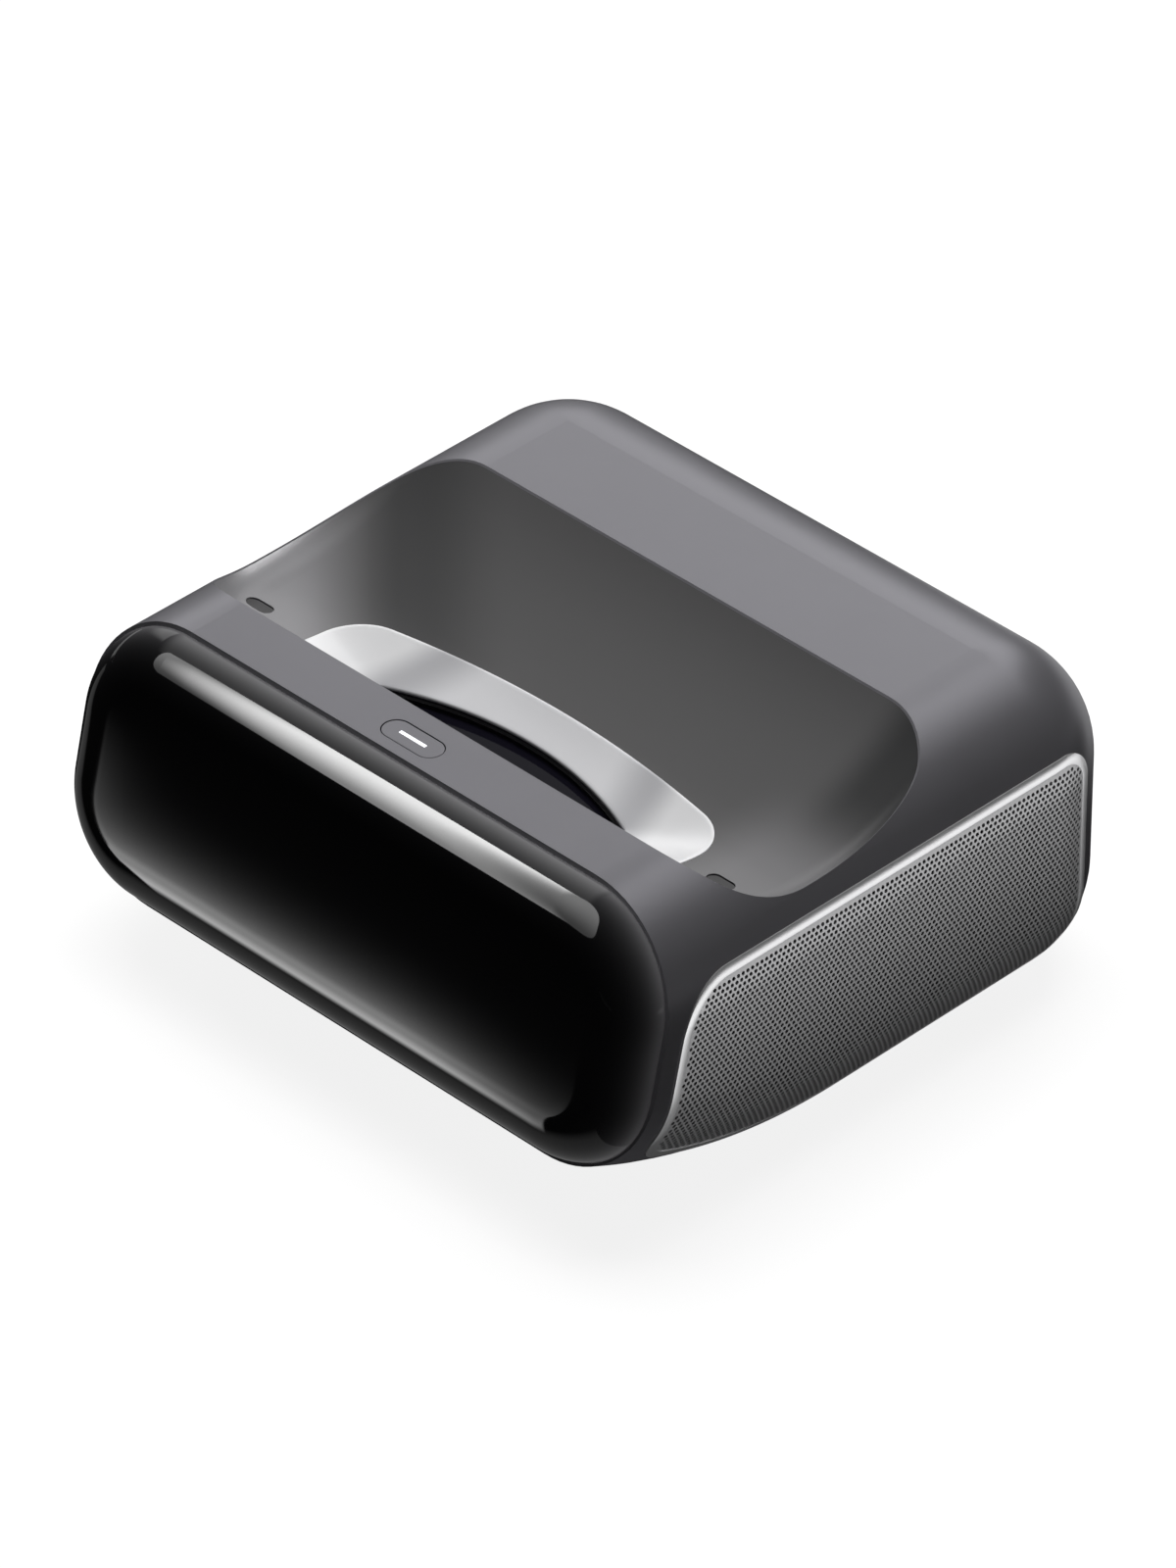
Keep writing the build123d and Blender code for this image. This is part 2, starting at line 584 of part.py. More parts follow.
def underside():
    """Bottom cover with feet, screws and threaded inserts, and the chassis plate on the ledge."""
    cover = prism(cover_face(-SEAM), BASE_Z, BASE_Z + WALL)
    discs, screws, inserts = [], [], []
    for foot in feet():
        cover -= foot
        discs.append(chamfer(foot.edges().group_by(Axis.Z)[0], 1.0))
    plate_x = HALF_W - CORNER_R - LEDGE_T
    plate = block(-plate_x, plate_x, PLATE_Y0, COVER_Y1 + LEDGE_OUT, FLOOR_Z, DECK_Z)
    for x, y in insert_spots():
        cover += rod("Z", INSERT_R + BOSS_WALL, x, y, BASE_Z + WALL, INSERT_L - WALL)
        cover -= rod("Z", INSERT_R, x, y, BASE_Z, INSERT_L)
        tube = rod("Z", INSERT_R, x, y, BASE_Z, INSERT_L)
        inserts.append(tube - rod("Z", THREAD_R, x, y, BASE_Z, INSERT_L))
        plate -= rod("Z", INSERT_R + BOSS_WALL + 0.5, x, y, FLOOR_Z, PLATE_T)
    for x, y in screw_spots():
        cover -= rod("Z", SCREW_HEAD_R + 0.1, x, y, BASE_Z, SCREW_HEAD_H)
        cover -= rod("Z", SCREW_R + 0.1, x, y, BASE_Z, WALL)
        head = rod("Z", SCREW_HEAD_R, x, y, BASE_Z, SCREW_HEAD_H)
        screws.append(head + rod("Z", SCREW_R, x, y, BASE_Z, SCREW_L))
        plate -= rod("Z", SCREW_R, x, y, FLOOR_Z, PLATE_T)
    keep("bottom_cover", cover)
    keep("rubber_feet", *discs)
    keep("cover_screws", *screws)
    keep("threaded_inserts", *inserts)
    keep("chassis_plate", plate)


def button():
    """Power button with its light guide, and the switch on its board under it."""
    top, foot = TOP_Z - 0.1, TOP_Z - BUTTON_H
    cap = prism(button_face(), foot, top)
    cap = fillet(cap.edges().group_by(Axis.Z)[-1], 0.4)
    flange_top = TOP_Z - WALL - 0.2
    flange = Pos(0, BUTTON_Y) * SlotOverall(BUTTON_L + 2 * FLANGE_END, BUTTON_W)
    cap += prism(flange, foot, flange_top)
    slot = Pos(0, BUTTON_Y) * Rectangle(LIGHT_L, LIGHT_W)
    keep("power_button", cap - prism(slot, foot, top))
    keep("button_light_guide", prism(slot, foot, top))
    board_top = TOP_Z - WALL - BUTTON_H
    reach = BUTTON_L / 2 + 3 * POST_R
    board = block(-reach, reach, BUTTON_Y - 2 * POST_R, BUTTON_Y + 2 * POST_R,
                  board_top - BOARD_T, board_top)
    keep("button_board", board)
    switch_top = foot - BUTTON_TRAVEL - 0.2
    base = block(-3, 3, BUTTON_Y - 3, BUTTON_Y + 3, board_top, switch_top - 0.6)
    keep("button_switch", base + rod("Z", 1.6, 0, BUTTON_Y, switch_top - 0.6, 0.6))


def socket(x, width, height, wall, tongue):
    """Metal socket shell with its mouth to the rear and a tongue inside."""
    half_w, half_h = width / 2, height / 2
    depth = PORT_L - 2.0
    shell = block(x - half_w, x + half_w, PORT_BOARD_Y, PORT_FACE_Y, MID_Z - half_h, MID_Z + half_h)
    shell -= block(x - half_w + wall, x + half_w - wall, PORT_FACE_Y - depth, PORT_FACE_Y,
                   MID_Z - half_h + wall, MID_Z + half_h - wall)
    low, high = tongue
    inner = half_w - wall - 0.8
    return shell + block(x - inner, x + inner, PORT_FACE_Y - depth, PORT_FACE_Y - 1.0,
                         MID_Z + low, MID_Z + high)


def port_hole(x, width, height):
    """Clearance hole through the rear panel round a socket."""
    half_w, half_h = width / 2 + PORT_GAP, height / 2 + PORT_GAP
    return block(x - half_w, x + half_w, PORT_BOARD_Y, REAR_Y + 1, MID_Z - half_h, MID_Z + half_h)


def rear_connectors():
    """Rear panel, its vents and sockets, the board behind them and the mains inlet."""
    panel = extrude(rear_face(-SEAM), WALL)
    flange = extrude(rear_face(REAR_FLANGE), WALL + REAR_FLANGE_T) - extrude(rear_face(REAR_FLANGE), WALL)
    panel += flange - extrude(rear_face(-REAR_FLANGE), WALL + REAR_FLANGE_T)
    for middle in VENT_XS:
        for i in range(VENT_COUNT):
            x = middle + (i - (VENT_COUNT - 1) / 2) * VENT_PITCH
            panel -= block(x - VENT_W / 2, x + VENT_W / 2, REAR_IN_Y - 1, REAR_Y + 1,
                           MID_Z - VENT_L / 2, MID_Z + VENT_L / 2)
    for x, width, height in [(x, VIDEO_W, VIDEO_H) for x in VIDEO_XS] + [
            (USB_X, USB_W, USB_H), (NET_X, NET_W, NET_H), (INLET_X, INLET_W, INLET_H)]:
        panel -= port_hole(x, width, height)
    board_x0, board_x1 = VIDEO_XS[0] - VIDEO_W, NET_X + NET_W
    half_z = REAR_PANEL_H / 2 - REAR_FLANGE
    for x in (board_x0 + 3, board_x1 - 3):
        for z in (MID_Z - half_z + 2, MID_Z + half_z - 2):
            panel += rod("Y", 2.0, x, PORT_BOARD_Y, z, REAR_IN_Y - PORT_BOARD_Y + 0.1)
    keep("rear_panel", panel)
    keep("connector_board", block(board_x0, board_x1, PORT_BOARD_Y - BOARD_T, PORT_BOARD_Y,
                                  MID_Z - half_z, MID_Z + half_z))
    keep("video_sockets", *[socket(x, VIDEO_W, VIDEO_H, VIDEO_WALL, (-0.7, 0.7)) for x in VIDEO_XS])
    keep("usb_socket", socket(USB_X, USB_W, USB_H, USB_WALL, (0.4, 2.2)))
    net = block(NET_X - NET_W / 2, NET_X + NET_W / 2, PORT_BOARD_Y, PORT_FACE_Y,
                MID_Z - NET_H / 2, MID_Z + NET_H / 2)
    mouth_top = MID_Z + NET_MOUTH_H / 2
    net -= block(NET_X - NET_MOUTH_W / 2, NET_X + NET_MOUTH_W / 2, PORT_BOARD_Y + 1.5, PORT_FACE_Y,
                 mouth_top - NET_MOUTH_H, mouth_top)
    net -= block(NET_X - NET_LATCH_W / 2, NET_X + NET_LATCH_W / 2, PORT_BOARD_Y + 1.5, PORT_FACE_Y,
                 mouth_top - NET_MOUTH_H - NET_LATCH_H, mouth_top)
    keep("network_socket", net)
    face = Plane(origin=(INLET_X, PORT_FACE_Y, MID_Z), x_dir=(1, 0, 0), z_dir=(0, -1, 0))
    inlet = extrude(face * RectangleRounded(INLET_W, INLET_H, 2.0), INLET_DEPTH + 3)
    lug = extrude(face.offset(WALL - PORT_RECESS) * RectangleRounded(INLET_W + 4, INLET_H + 4, 3.0), 1.5)
    inlet += lug
    inlet -= extrude(face * SlotOverall(INLET_MOUTH_W, INLET_MOUTH_H), INLET_DEPTH)
    for side in (-1, 1):
        x = INLET_X + side * PIN_SPACING / 2
        inlet += rod("Y", PIN_R, x, PORT_FACE_Y - INLET_DEPTH - 1, MID_Z, INLET_DEPTH)
    keep("mains_inlet", inlet)


def gear_points(teeth, module, only=None):
    """Plan points of a spur gear with straight-sided teeth; gaps lie at multiples of the pitch."""
    pitch_r = module * teeth / 2
    tip, root = pitch_r + 0.9 * module, pitch_r - 1.25 * module
    step = 2 * pi / teeth
    points = []
    for i in range(teeth):
        middle = (i + 0.5) * step
        if only is not None and min(i, teeth - 1 - i) >= only:
            points.append((root, middle))
            continue
        for radius, share in ((root, -0.31), (tip, -0.11), (tip, 0.11), (root, 0.31)):
            points.append((radius, middle + share * step))
    return [(r * cos(a), r * sin(a)) for r, a in points]


def gear(teeth, x, y0, width, spin=0.0, only=None):
    """Spur gear about an axis along Y at height AXIS_Z, from y0 towards the rear."""
    plane = Plane(origin=(x, y0 + width, AXIS_Z), x_dir=(1, 0, 0), z_dir=(0, -1, 0))
    face = make_face(Polyline(*gear_points(teeth, GEAR_MODULE, only), close=True))
    return extrude(plane * Rot(0, 0, spin) * face, width)


def focus_drive():
    """Lens barrel, its fixed lenses, the sliding focus cell, the toothed ring and its motor."""
    front_y = ENGINE_FRONT_Y - BARREL_L
    barrel = rod("Y", BARREL_R, 0, front_y, AXIS_Z, BARREL_L)
    barrel += rod("Y", BELL_R, 0, front_y, AXIS_Z, BELL_L)
    barrel += rod("Y", FLANGE_R, 0, ENGINE_FRONT_Y - FLANGE_T, AXIS_Z, FLANGE_T)
    barrel -= rod("Y", BARREL_BORE_R, 0, front_y, AXIS_Z, BARREL_L)
    slot_half = FOCUS_TRAVEL + DRIVE_PIN_R + SLOT_GAP
    pin_half = DRIVE_PIN_R + SLOT_GAP
    barrel -= block(-pin_half, pin_half, CELL_Y - slot_half, CELL_Y + slot_half,
                    AXIS_Z + CELL_BORE_R, AXIS_Z + BARREL_R + 1)
    keep("lens_barrel", barrel)
    lens_front = rod("Y", BARREL_BORE_R, 0, front_y + LENS_IN, AXIS_Z, LENS_T)
    lens_rear = rod("Y", BARREL_BORE_R, 0, ENGINE_FRONT_Y - LENS_IN - LENS_T, AXIS_Z, LENS_T)
    keep("fixed_lenses", lens_front, lens_rear)
    cell = rod("Y", BARREL_BORE_R - FIT, 0, CELL_Y - CELL_L / 2, AXIS_Z, CELL_L)
    cell -= rod("Y", CELL_BORE_R, 0, CELL_Y - CELL_L / 2, AXIS_Z, CELL_L)
    pin_foot = AXIS_Z + (BARREL_BORE_R + CELL_BORE_R) / 2
    cell += rod("Z", DRIVE_PIN_R, 0, CELL_Y, pin_foot, AXIS_Z + RING_R - 0.5 - pin_foot)
    keep("focus_cell", cell)
    keep("focus_lens", rod("Y", CELL_BORE_R, 0, CELL_Y - CELL_LENS_T / 2, AXIS_Z, CELL_LENS_T))
    ring = rod("Y", RING_R, 0, RING_FRONT_Y, AXIS_Z, RING_REAR_Y - RING_FRONT_Y)
    ring += gear(RING_TEETH, 0, RING_FRONT_Y, GEAR_W, 0.0, RING_SECTOR)
    ring -= rod("Y", BARREL_R + FIT, 0, RING_FRONT_Y - 1, AXIS_Z, RING_REAR_Y - RING_FRONT_Y + 2)
    keep("focus_ring", ring - cam_slot())
    pinion = gear(PINION_TEETH, GEAR_CENTRES, RING_FRONT_Y, GEAR_W, 180 / PINION_TEETH)
    shaft_l = MOTOR_FRONT_Y + SHAFT_DEPTH - RING_FRONT_Y
    keep("focus_pinion", pinion + rod("Y", SHAFT_R, GEAR_CENTRES, RING_FRONT_Y, AXIS_Z, shaft_l))
    motor = rod("Y", MOTOR_R, GEAR_CENTRES, MOTOR_FRONT_Y, AXIS_Z, ENGINE_FRONT_Y - MOTOR_FRONT_Y)
    motor -= rod("Y", SHAFT_R + FIT, GEAR_CENTRES, MOTOR_FRONT_Y, AXIS_Z, SHAFT_DEPTH + 1)
    keep("focus_motor", motor)


def cam_slot():
    """Helical slot in the focus ring that carries the cell's pin as the ring turns."""
    steps = 8
    step = 2 * FOCUS_TURN / steps
    along = radians(step) * RING_R / 2 + DRIVE_PIN_R + SLOT_GAP
    across = DRIVE_PIN_R + SLOT_GAP + FOCUS_TRAVEL / steps
    slot = None
    for i in range(steps + 1):
        share = 2 * i / steps - 1
        cell = block(-along, along, CELL_Y - across, CELL_Y + across,
                     AXIS_Z + BARREL_R - 1, AXIS_Z + RING_R + 4)
        turned = Pos(0, 0, AXIS_Z) * Rot(0, -share * FOCUS_TURN, 0) * Pos(0, 0, -AXIS_Z) * cell
        turned = Pos(0, share * FOCUS_TRAVEL, 0) * turned
        slot = turned if slot is None else slot + turned
    return slot


def optics():
    """Light engine, laser module with its heat pipes, heat sink and mirror."""
    plan = make_face(Polyline(
        (-ENGINE_NOSE_X, ENGINE_FRONT_Y), (ENGINE_NOSE_X, ENGINE_FRONT_Y),
        (ENGINE_HALF_X, ENGINE_NOSE_Y), (ENGINE_HALF_X, ENGINE_REAR_Y),
        (-ENGINE_HALF_X, ENGINE_REAR_Y), (-ENGINE_HALF_X, ENGINE_NOSE_Y), close=True))
    case = prism(plan, DECK_Z, ENGINE_TOP_Z)
    keep("light_engine_case", fillet(case.edges().filter_by(Axis.Z), 4.0))
    keep("light_engine_cover", prism(plan, ENGINE_TOP_Z, ENGINE_TOP_Z + LID_T))
    laser_rear = PIPE_Y + PIPE_R / 2
    base_y = laser_rear - LASER_BASE_T
    laser = block(-LASER_HALF_X, LASER_HALF_X, ENGINE_REAR_Y, base_y, LASER_LOW_Z, LASER_TOP_Z)
    laser += block(-LASER_HALF_X - LASER_BASE_OUT, LASER_HALF_X + LASER_BASE_OUT, base_y, laser_rear,
                   LASER_BASE_LOW_Z, LASER_TOP_Z)
    pipes = [heat_pipe(x, z) for x, z in PIPES]
    for pipe in pipes:
        laser -= pipe
    keep("laser_module", laser)
    keep("heat_pipes", *pipes)
    sink_end = FIN_Y0 + (FIN_COUNT - 1) * FIN_PITCH + FIN_T
    sink = block(FIN_X0, SINK_BASE_X1, FIN_Y0, sink_end, DECK_Z, DECK_Z + SINK_BASE_T)
    for i in range(FIN_COUNT):
        y = FIN_Y0 + i * FIN_PITCH
        sink += block(FIN_X0, FIN_X1, y, y + FIN_T, DECK_Z + SINK_BASE_T, FIN_TOP_Z)
    for pipe in pipes:
        sink -= pipe
    keep("heat_sink", sink)
    tilt = radians(MIRROR_TILT)
    plane = Plane(origin=(0, MIRROR_Y, MIRROR_Z), x_dir=(1, 0, 0), z_dir=(0, cos(tilt), sin(tilt)))
    mirror_block = extrude(plane * RectangleRounded(2 * CHEEK_X, MIRROR_H, 4.0), -MIRROR_T)
    ball = plane.offset(MIRROR_R - MIRROR_SINK) * Sphere(MIRROR_R)
    keep("aspheric_mirror", mirror_block - ball)


def imager():
    """Imager board on the left wall of the light engine and the finned sink on the board."""
    face, edge = -ENGINE_HALF_X - BOARD_T, IMAGER_Y0 + IMAGER_SINK_IN
    low, high = AXIS_Z - IMAGER_SINK_HALF_Z, AXIS_Z + IMAGER_SINK_HALF_Z
    keep("imager_board", block(face, -ENGINE_HALF_X, IMAGER_Y0, IMAGER_Y1,
                               AXIS_Z - IMAGER_HALF_Z, AXIS_Z + IMAGER_HALF_Z))
    fins = block(face - IMAGER_SINK_T, face, edge, IMAGER_Y1 - IMAGER_SINK_IN, low, high)
    for i in range(IMAGER_FINS):
        y = edge + i * IMAGER_FIN_PITCH
        fins += block(face - IMAGER_FIN_OUT, face, y, y + IMAGER_FIN_T, low, high)
    keep("imager_heat_sink", fins)


def cradle():
    """Two cheeks that carry the mirror, the floor between them and the rest under the barrel."""
    cheek = make_face(Plane.YZ * Polyline(
        (CHEEK_REAR_Y, DECK_Z), (PLATE_Y0, DECK_Z), *CHEEK_FRONT, *CHEEK_TOP, *CHEEK_BACK, close=True))
    cheek = Pos(CHEEK_X, 0, 0) * extrude(cheek, CHEEK_T, dir=(1, 0, 0))
    frame = cheek + mirrored(cheek)
    frame += block(-CHEEK_X, CHEEK_X, PLATE_Y0, REST_Y1 + 2, DECK_Z, DECK_Z + CRADLE_FLOOR_T)
    frame += block(-BARREL_R, BARREL_R, REST_Y0, REST_Y1, DECK_Z, AXIS_Z)
    frame -= rod("Y", BARREL_R, 0, REST_Y0 - 1, AXIS_Z, REST_Y1 - REST_Y0 + 2)
    keep("optics_cradle", frame)


def heat_pipe(x, z):
    """Heat pipe from behind the laser module round one bend into the fins."""
    start = -LASER_HALF_X
    end_y = FIN_Y0
    path = Line((start, PIPE_Y, z), (x - PIPE_BEND, PIPE_Y, z))
    path += RadiusArc((x - PIPE_BEND, PIPE_Y, z), (x, PIPE_Y - PIPE_BEND, z), PIPE_BEND)
    path += Line((x, PIPE_Y - PIPE_BEND, z), (x, end_y, z))
    section = Plane(origin=(start, PIPE_Y, z), z_dir=(1, 0, 0)) * Circle(PIPE_R)
    return sweep(section, path=path)


def fans():
    """Right fan at the outlet side, its bracket and rotor, and the same on the left."""
    half = FAN / 2
    frame = block(FAN_X, FAN_X + FAN_T, FAN_Y - half, FAN_Y + half, FAN_Z - half, FAN_Z + half)
    frame = fillet(frame.edges().filter_by(Axis.X), FAN_CORNER_R)
    frame -= rod("X", FAN_BORE_R, FAN_X - 1, FAN_Y, FAN_Z, FAN_T + 2)
    for turn in (45, 135):
        strut = Box(STRUT_T, 2 * FAN_BORE_R + 2, STRUT_W)
        frame += Pos(FAN_X + STRUT_T / 2, FAN_Y, FAN_Z) * Rot(turn, 0, 0) * strut
    frame += rod("X", HUB_R, FAN_X, FAN_Y, FAN_Z, STRUT_T)
    frame += rod("X", AXLE_R, FAN_X, FAN_Y, FAN_Z, FAN_T - 2)
    rotor_x0, rotor_x1 = FAN_X + STRUT_T + ROTOR_GAP, FAN_X + FAN_T - 1
    rotor = rod("X", HUB_R, rotor_x0, FAN_Y, FAN_Z, rotor_x1 - rotor_x0)
    middle = (rotor_x0 + rotor_x1) / 2
    span = BLADE_R - HUB_R + 1
    for i in range(BLADES):
        blade = Pos(0, 0, HUB_R - 1 + span / 2) * Rot(0, 0, BLADE_PITCH) * Box(BLADE_CHORD, BLADE_T, span)
        rotor += Pos(middle, FAN_Y, FAN_Z) * Rot(360 * i / BLADES, 0, 0) * blade
    rotor -= rod("X", AXLE_R + FIT, rotor_x0 - 1, FAN_Y, FAN_Z, FAN_T - 2 - STRUT_T + 1)
    bracket = block(SINK_BASE_X1 + BRACKET_GAP, FAN_X, FAN_Y - half, FAN_Y + half,
                    DECK_Z, DECK_Z + BRACKET_T)
    bracket += block(FAN_X - BRACKET_T, FAN_X, FAN_Y - half, FAN_Y + half, DECK_Z, FAN_Z + half)
    bracket -= rod("X", FAN_BORE_R, FAN_X - 2, FAN_Y, FAN_Z, 3)
    for name, shape in (("fan_frame", frame), ("fan_rotor", rotor), ("fan_bracket", bracket)):
        keep("right_" + name, shape)
        keep("left_" + name, mirrored(shape))


def speakers():
    """Right speaker enclosure, driver and cone behind the grille, and the same on the left."""
    y = (SPEAKER_Y0 + SPEAKER_Y1) / 2
    box = block(SPEAKER_X0, SPEAKER_X1, SPEAKER_Y0, SPEAKER_Y1, SPEAKER_Z0, SPEAKER_Z1)
    box = fillet(box.edges().filter_by(Axis.X), SPEAKER_R)
    pocket = SPEAKER_POCKET
    box -= rod("X", CONE_R + 2, SPEAKER_X1 - pocket, y, DRIVER_Z, pocket + 1)
    leg_x1 = HALF_W - CORNER_R - LEDGE_T
    box += block(SPEAKER_X0, leg_x1, PLATE_Y0, SPEAKER_Y1, DECK_Z, SPEAKER_Z0)
    face_x = SPEAKER_X1 + DRIVER_FLANGE_T
    wall = DRIVER_WALL
    profile = Polyline(
        (face_x, CONE_R), (face_x, DRIVER_R), (SPEAKER_X1, DRIVER_R), (SPEAKER_X1, CONE_R + wall),
        (SPEAKER_X1 - BASKET_L, MAGNET_R), (SPEAKER_X1 - pocket, MAGNET_R), (SPEAKER_X1 - pocket, 0),
        (SPEAKER_X1 - BASKET_L - wall, 0), (SPEAKER_X1 - BASKET_L - wall, MAGNET_R - wall - 1),
        (SPEAKER_X1 - BASKET_L + 2, MAGNET_R - 1), (SPEAKER_X1, CONE_R), close=True)
    driver = revolve(Plane.XY * make_face(profile), Axis.X)
    cone_x = SPEAKER_X1 - CONE_L
    cone = revolve(Plane.XY * make_face(Polyline(
        (face_x, CONE_R - 0.5), (face_x - 0.8, CONE_R), (SPEAKER_X1, CONE_R), (cone_x, CAP_R),
        (cone_x + CAP_RISE, 0), (cone_x + CAP_RISE + CONE_T, 0), (cone_x + CONE_WALL, CAP_R),
        close=True)), Axis.X)
    place = Pos(0, y, DRIVER_Z)
    for name, shape in (("speaker_box", box), ("speaker_driver", place * driver),
                        ("speaker_cone", place * cone)):
        keep("right_" + name, shape)
        keep("left_" + name, mirrored(shape))


def boards():
    """Main board over the light engine on its standoffs, and the power board beside the engine."""
    top = MAIN_Z + BOARD_T
    main = block(-MAIN_HALF_X, MAIN_HALF_X, MAIN_Y0, MAIN_Y1, MAIN_Z, top)
    for x0, x1, y0, y1, height in MAIN_PARTS:
        main += block(x0, x1, y0, y1, top, top + height)
    keep("main_board", main)
    posts = [rod("Z", POST_R, side * STANDOFF_X, y, ENGINE_TOP_Z + LID_T, MAIN_Z - ENGINE_TOP_Z - LID_T)
             for side in (-1, 1) for y in STANDOFF_YS]
    keep("board_standoffs", *posts)
    x0, x1 = -(HALF_W - CORNER_R - LEDGE_T), -(ENGINE_HALF_X + POWER_GAP)
    board_z = DECK_Z + POWER_LEG
    power = block(x0, x1, 0, COVER_Y1, board_z, board_z + BOARD_T)
    high = board_z + BOARD_T
    for left, right, y0, y1, height in POWER_PARTS:
        power += block(x0 + left, (x0 if right > 0 else x1) + right, y0, y1, high, high + height)
    for y in CAPACITOR_YS:
        power += rod("Z", CAPACITOR_R, (x0 + x1) / 2 + CAPACITOR_R, y, high, CAPACITOR_H)
    outer_leg = max(x0 + LEG_R, -SINK_BASE_X1 - BRACKET_GAP + LEG_GAP + LEG_R)
    for x in (outer_leg, x1 - POWER_LEG):
        for y in (POWER_LEG, COVER_Y1 - POWER_LEG):
            power += rod("Z", LEG_R, x, y, DECK_Z, board_z - DECK_Z)
    keep("power_board", power)


def main():
    """Build every piece and write one file for each."""
    housing()
    scoop_cover()
    front_cover()
    grilles()
    underside()
    button()
    rear_connectors()
    focus_drive()
    optics()
    imager()
    cradle()
    fans()
    speakers()
    boards()
    os.makedirs("parts", exist_ok=True)
    for name, shape in PARTS.items():
        export_step(shape, f"parts/{name}.step")


main()
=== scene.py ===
"""Ultra-short-throw projector: smooth skins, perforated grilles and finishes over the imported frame.

Sizes are in millimetres in the classes and become metres when a mesh is made; finishes and the
stage are in metres. The frame is that of the solids: origin on the table under the body, +X right,
the front faces -Y, +Z up.
"""
import json
import logging
import math
from dataclasses import dataclass
from enum import Enum
from typing import Callable, Sequence, Union

import bpy
import numpy as np
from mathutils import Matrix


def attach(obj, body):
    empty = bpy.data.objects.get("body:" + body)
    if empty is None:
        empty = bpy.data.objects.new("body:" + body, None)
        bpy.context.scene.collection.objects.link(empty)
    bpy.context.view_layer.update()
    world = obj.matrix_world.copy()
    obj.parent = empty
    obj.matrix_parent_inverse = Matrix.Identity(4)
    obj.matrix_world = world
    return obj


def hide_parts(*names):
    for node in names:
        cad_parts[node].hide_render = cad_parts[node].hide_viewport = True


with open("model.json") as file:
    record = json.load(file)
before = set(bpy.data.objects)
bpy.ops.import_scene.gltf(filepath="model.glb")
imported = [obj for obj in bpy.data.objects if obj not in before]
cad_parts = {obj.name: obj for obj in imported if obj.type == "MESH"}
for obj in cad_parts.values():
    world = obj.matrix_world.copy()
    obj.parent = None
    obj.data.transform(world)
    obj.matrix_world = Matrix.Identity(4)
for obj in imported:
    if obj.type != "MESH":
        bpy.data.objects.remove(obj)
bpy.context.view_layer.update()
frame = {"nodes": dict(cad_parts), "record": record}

LOG = logging.getLogger("projector")
MM = 0.001
PI = math.pi
Array = np.ndarray
Colour = tuple[float, float, float]
Span = tuple[float, float]
Value = Union["Sock", float, tuple]


class Axis(Enum):
    """Direction in which a finish is brushed or turned."""

    X = (1.0, 0.0, 0.0)
    Y = (0.0, 1.0, 0.0)
    Z = (0.0, 0.0, 1.0)


def overload(operation: str, reflected: bool = False) -> Callable:
    """Operator for Sock that adds one Math node; its reflected form swaps the inputs.

    Args:
        operation: name of the Math node's operation.
        reflected: True where self is the second input.

    Returns:
        The operator.
    """
    def operator(self: "Sock", other: Value) -> "Sock":
        """Add the node."""
        return self.math(operation, *((other, self) if reflected else (self, other)))
    return operator


class Sock:
    """One output socket that takes part in Python arithmetic."""

    __add__, __radd__ = overload("ADD"), overload("ADD", True)
    __sub__, __rsub__ = overload("SUBTRACT"), overload("SUBTRACT", True)
    __mul__, __rmul__ = overload("MULTIPLY"), overload("MULTIPLY", True)
    __truediv__, __pow__, __mod__ = overload("DIVIDE"), overload("POWER"), overload("FLOORED_MODULO")

    def __init__(self, tree: bpy.types.NodeTree, out: bpy.types.NodeSocket) -> None:
        """Wrap an output socket of a node tree."""
        self.tree = tree
        self.out = out

    def math(self, operation: str, *values: Value) -> "Sock":
        """Add one Math node.

        Args:
            operation: name of the Math node's operation.
            values: its inputs in order, sockets or numbers.

        Returns:
            The node's result.
        """
        node = self.tree.nodes.new("ShaderNodeMath")
        node.operation = operation
        for place, value in zip(node.inputs, values):
            if isinstance(value, Sock):
                self.tree.links.new(value.out, place)
            else:
                place.default_value = value
        return Sock(self.tree, node.outputs[0])

    def __neg__(self) -> "Sock":
        """Minus self."""
        return self * -1.0

    def __abs__(self) -> "Sock":
        """Size without sign."""
        return self.math("ABSOLUTE", self)

    def fading(self) -> "Sock":
        """e to the power of self."""
        return self.math("EXPONENT", self)

    def most(self, other: Value) -> "Sock":
        """The greater of the two."""
        return self.math("MAXIMUM", self, other)

    def rise(self, low: float, high: float) -> "Sock":
        """Smooth step from 0 at low to 1 at high.

        Args:
            low: value where the step starts.
            high: value where the step ends.

        Returns:
            The step's result.
        """
        node = self.tree.nodes.new("ShaderNodeMapRange")
        node.interpolation_type = "SMOOTHSTEP"
        node.inputs["From Min"].default_value = low
        node.inputs["From Max"].default_value = high
        self.tree.links.new(self.out, node.inputs["Value"])
        return Sock(self.tree, node.outputs["Result"])

    def fall(self, low: float, high: float) -> "Sock":
        """Smooth step from 1 at low to 0 at high."""
        return 1.0 - self.rise(low, high)


